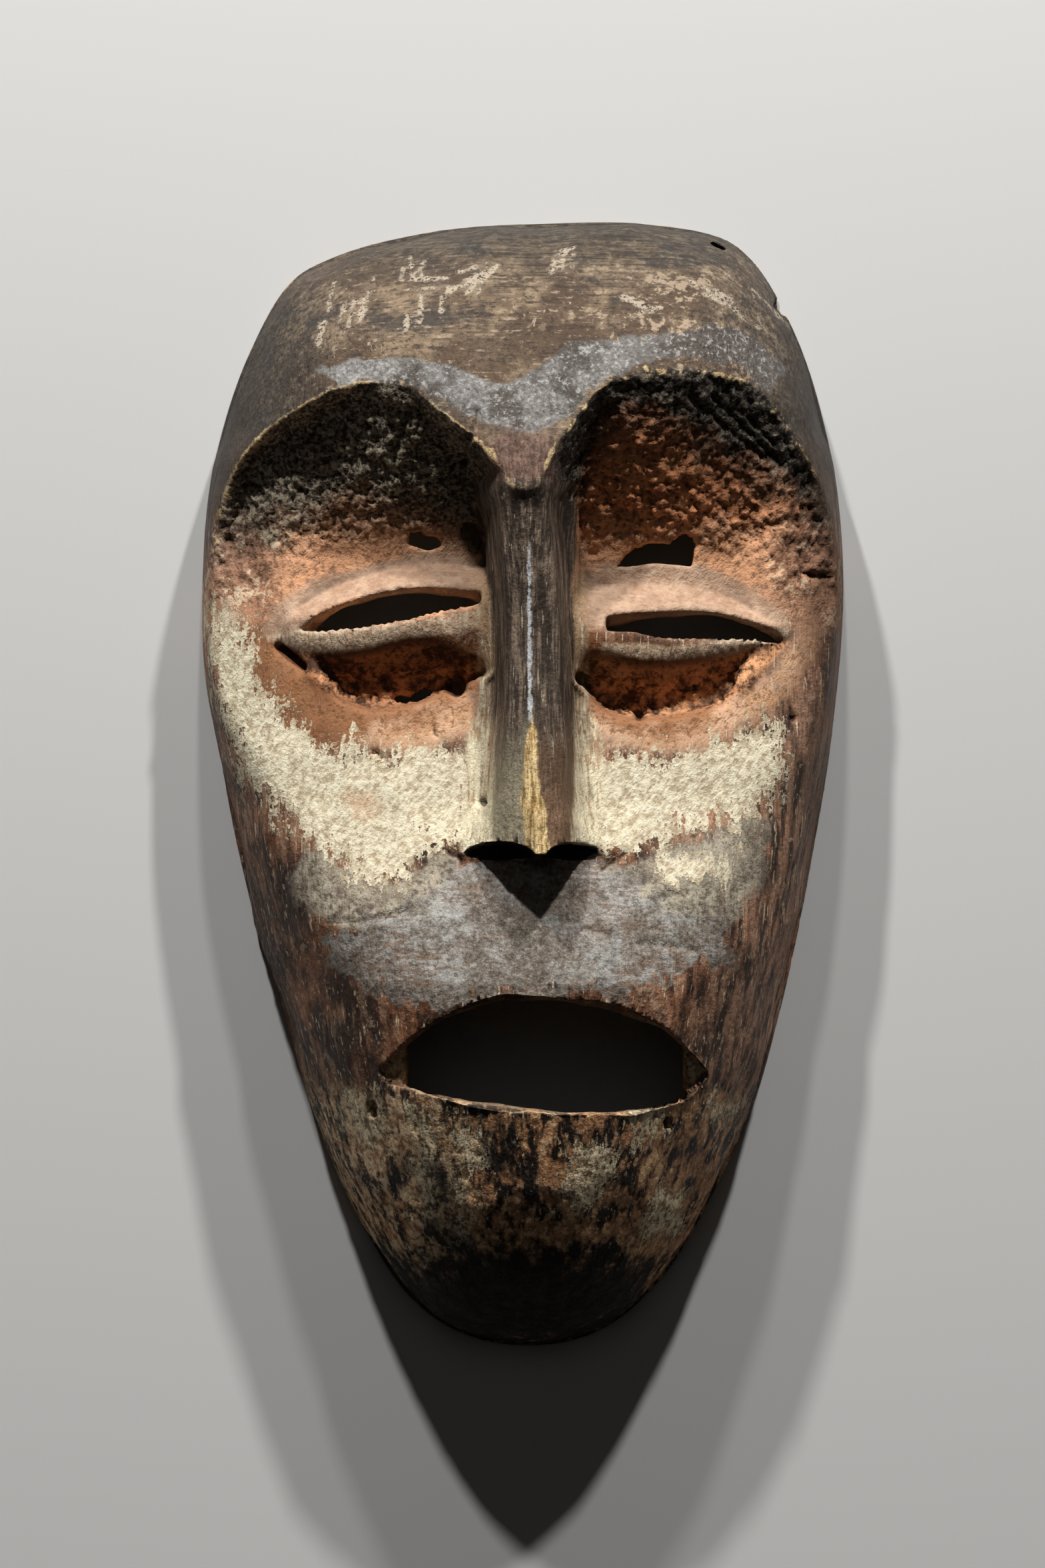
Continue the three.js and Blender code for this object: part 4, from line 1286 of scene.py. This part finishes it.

# The dark glossy patina of smoke and handling, with its sheen painted in as paler tones: painted
# reflection.
on_brow = covers("brow_gloss", 5.0, 1.6, 0.5) * ~grain_up.step(0.16, 0.24)
on_lip = covers("lip_gloss", 13.0, 3.0, 0.9, streak=3.0)
clouds = (coarse + 0.7 * patches).step(-0.1, 0.12)
brow_patina_and_sheen = coats(
    mix(clouds, (0.07, 0.06, 0.05), (0.21, 0.2, 0.185)),
    (0.75 * along_x.step(15.0, 45.0), (0.06, 0.045, 0.034)),
    (0.6 * (fine + stipple).step(0.08, 0.22), (0.42, 0.42, 0.41)),
)
# The muzzle's patina tone, with paler clouds and light speckles painted in as its sheen.
lip_patina_and_sheen = coats(
    mix(clouds, (0.2, 0.165, 0.13), (0.38, 0.365, 0.33)),
    (0.35 * (fine + stipple).step(0.06, 0.2), (0.56, 0.54, 0.5)),
    (0.7 * (patches + grain_across).step(0.04, 0.12), (0.2, 0.13, 0.085)),
)
notch = along_y.step(72.0, 76.0) * ~(along_y + 14 * coarse).step(88.0, 96.0)
notch *= ~(abs(along_x) + 3 * fine).step(7.0, 11.0)
base = coats(
    base, (0.92 * on_brow, brow_patina_and_sheen), (0.9 * on_lip, lip_patina_and_sheen),
    (0.8 * notch, tones(grain_up, -0.1, 0.15, (0.07, 0.035, 0.025), (0.2, 0.12, 0.09))),
)

# The nose: dark front, streaked flanks, and a pale line painted along the ridge as its highlight.
across = attribute("nose_across") + 4 * streaks
on_flank = ~(across - (15 + 4 * along_y.step(22.0, 10.0))).step(-2.0, 0.5)
on_flank *= ~along_y.step(50.0, 62.0)
on_front = ~(across - (10.6 + 2.5 * along_y.step(50.0, 62.0))).step(-0.8, 0.8)
front = coats(
    tones(grain_up + 0.7 * streaks, -0.08, 0.18, (0.04, 0.027, 0.019), (0.21, 0.15, 0.105)),
    (0.8 * flecks.step(0.13, 0.19), (0.42, 0.34, 0.24)),
    (0.75 * (along_y + 40 * streaks).step(22.0, -10.0),
     tones(along_x, 1.0, 5.0, (0.42, 0.36, 0.24), (0.19, 0.1, 0.05))),
)
# A pale line along the nose ridge: a painted highlight.
ridge = ~(attribute("ridge_off") + 2.2 * fine).step(0.35, 0.7) * stipple.step(-0.22, -0.12)
ridge *= along_y.step(15.0, 18.0) * ~along_y.step(60.0, 64.0)
base = coats(
    base,
    (on_flank, tones(grain_up - 0.004 * along_y, -0.16, 0.06, (0.36, 0.23, 0.13),
                     (0.7, 0.62, 0.43))),
    (on_front, front),
    (ridge, (0.5, 0.5, 0.5)),
    (covers("worn_wedge", 1.6, 1.4, 0.3, streak=1.6),
     tones(grain_up, -0.12, 0.12, (0.3, 0.17, 0.05), (0.8, 0.6, 0.3))),
)

# The chin. Its near black bottom is partly dark patina and partly painted shade where the chin
# turns away from the lamps.
chin_left = along_x.step(-8.0, -24.0) * (streaks + fine).step(-0.05, 0.12)
chin = coats(
    tones(streaks + 0.7 * coarse, -0.08, 0.06, (0.018, 0.011, 0.007), (0.5, 0.25, 0.115)),
    (0.85 * (streaks + 0.5 * fine).step(0.08, 0.13), (0.74, 0.48, 0.25)),
    (0.85 * flecks.step(0.12, 0.16), PALE_FLECK),
    (0.8 * chin_left, (0.8, 0.6, 0.36)),
    (strokes, (0.62, 0.48, 0.3)),
)
below_mouth = (along_y + 16 * streaks).step(-76.0, -84.0)
base = coats(
    base, (below_mouth, chin),
    (covers("chin_pale", 3.0, 3.5, 0.35, streak=18.0),
     tones(grain_up + fine, -0.12, 0.06, (0.3, 0.2, 0.1), (0.86, 0.7, 0.46))),
    (0.96 * covers("chin_black", 9.0, 4.0, 6.0, streak=14.0), (0.005, 0.004, 0.003)),
)

# Wear down to pale wood on what stands out, and near black in what lies deep: grime with painted
# shade in the hollows.
stands = attribute("bulge")
worn = (stands + 0.25 * fine + 0.9 * patches).step(0.42, 0.55)
worn *= ~on_front * ~abs(attribute("brow")).step(1.2, 2.4)
worn |= 0.6 * outside_brow * (stands + 0.5 * fine + 1.3 * coarse).step(0.6, 0.72)
sides = outside_brow * abs(along_x).step(66.0, 80.0) * (along_y + 40 * coarse).step(52.0, 80.0)
right_edge = sunk * (along_x + 16 * streaks).step(70.0, 80.0)
lip_edge = ~(attribute("mouth") + 3.5 * fine + 4 * coarse).step(-0.2, 0.5)
# Near black where the surface lies deep: grime, and painted shade in the hollows.
deep = (-1 * stands).step(0.15, 0.7) * blend(upper, 0.7, 0.5)
grime = (fine + 0.8 * stipple).step(-0.03, -0.2) * blend(on_kaolin | on_clay | on_strip, 0.5, 0.12)
base = coats(
    base,
    (0.85 * worn, tones(fine, -0.1, 0.1, (0.26, 0.17, 0.08), (0.56, 0.41, 0.21))),
    (0.7 * sides * ~below_mouth, (0.025, 0.016, 0.01)),
    (0.6 * right_edge, (0.06, 0.03, 0.016)),
    (0.75 * lip_edge, tones(fine, -0.1, 0.1, (0.3, 0.2, 0.11), (0.58, 0.46, 0.28))),
    (deep, (0.014, 0.009, 0.006)),
    (grime, (0.03, 0.02, 0.014)),
    # Near black in the nostril scoops: painted shadow under the nose.
    (~(attribute("nostrils") + 0.3 * fine).step(0.9, 1.15), (0.006, 0.004, 0.003)),
    # The hollow: smoke-darkened bare wood.
    (attribute("hidden"), tones(grain_up, -0.2, 0.25, (0.1, 0.06, 0.035), (0.2, 0.13, 0.08))),
)

# Gloss and fine relief.
powder = covers("kaolin", 11.0, 8.0, 1.0, streak=14.0) | covers("orange", 7.0, 5.0, 3.5)
matt = (powder | upper) * ~on_front
roughness = blend(matt, 0.56 + 0.5 * coarse, 0.95)
roughness = blend(on_brow | on_lip, roughness, 0.3 + 0.3 * coarse)
roughness = blend(attribute("hidden"), roughness, 0.8)
roughness = blend(along_y.step(-96.0, -116.0), roughness, 0.9)
relief = matt * (0.3 * scratchy + 0.3 * stipple) + ~matt * (0.9 * grain_up - 0.4 * flecks)
relief += fine * blend(matt, 0.6, 0.15) - 0.25 * strokes + 0.2 * powder
surface = t.add(
    "ShaderNodeBsdfPrincipled", Base_Color=base, Roughness=roughness, Specular_IOR_Level=0.25,
    Normal=t.add("ShaderNodeBump", Height=relief, Strength=1.0, Distance=MM),
)
t.add("ShaderNodeOutputMaterial", Surface=surface)

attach(mask, "root")
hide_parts("carved_face_mask")

# %% [markdown]
# ## The studio
# The mask lies face up on a plain pale floor. Three small lamps beyond its forehead rake down over
# it, as in the photograph, and a weak wide lamp above fills the shadows.

# %% The floor
FLOOR_SIZE = 6
FLOOR_GAP = 0.0005
bpy.ops.mesh.primitive_plane_add(size=FLOOR_SIZE, location=(0, 0, -FLOOR_GAP))
floor = bpy.context.object
floor.name = "floor"
floor_material = bpy.data.materials.new("plain_floor")
floor_material.use_nodes = True
floor_surface = floor_material.node_tree.nodes["Principled BSDF"]
floor_surface.inputs["Base Color"].default_value = (0.5, 0.49, 0.475, 1)
floor_surface.inputs["Roughness"].default_value = 0.9
floor.data.materials.append(floor_material)

# %% Lights
world = bpy.data.worlds.new("studio")
bpy.context.scene.world = world
world.use_nodes = True
world.node_tree.nodes["Background"].inputs["Color"].default_value = (1, 0.98, 0.95, 1)
world.node_tree.nodes["Background"].inputs["Strength"].default_value = 0.012

AIM = Vector((0, 0, 0.05))


def lamp(name, azimuth, elevation, distance, size, power):
    """A round lamp turned towards the mask, its azimuth counted from +Y towards +X."""
    light = bpy.data.lights.new(name, "AREA")
    light.shape = "DISK"
    light.size = size
    light.energy = power
    holder = bpy.data.objects.new(name, light)
    bpy.context.scene.collection.objects.link(holder)
    turn = math.radians(azimuth)
    rise = math.radians(elevation)
    flat = distance * math.cos(rise)
    away = Vector((flat * math.sin(turn), flat * math.cos(turn), distance * math.sin(rise)))
    holder.location = AIM + away
    holder.rotation_euler = (-away).to_track_quat("-Z", "Y").to_euler()


RAKING_DISTANCE = 1.6
RAKING_SIZE = 0.07
for name, azimuth, elevation, power in (
    ("left_lamp", -15.5, 30.5, 21.5),
    ("right_lamp", 15.5, 30.5, 21.5),
    ("upper_lamp", 0, 27, 10),
):
    lamp(name, azimuth, elevation, RAKING_DISTANCE, RAKING_SIZE, power)
lamp("front_fill", azimuth=0, elevation=76, distance=2.5, size=1.2, power=1.2)
bpy.context.scene.view_settings.view_transform = "Standard"

# %% The camera
FRAME_TALL = 0.4165
LENS = 300
SENSOR = 36
MIDDLE_HEIGHT = 0.01  # where the frame is that tall
camera_data = bpy.data.cameras.new("camera")
camera_data.lens = LENS
camera_data.sensor_width = SENSOR
camera = bpy.data.objects.new("camera", camera_data)
bpy.context.scene.collection.objects.link(camera)
camera.location = (0, 0, FRAME_TALL * LENS / SENSOR + MIDDLE_HEIGHT)
bpy.context.scene.camera = camera
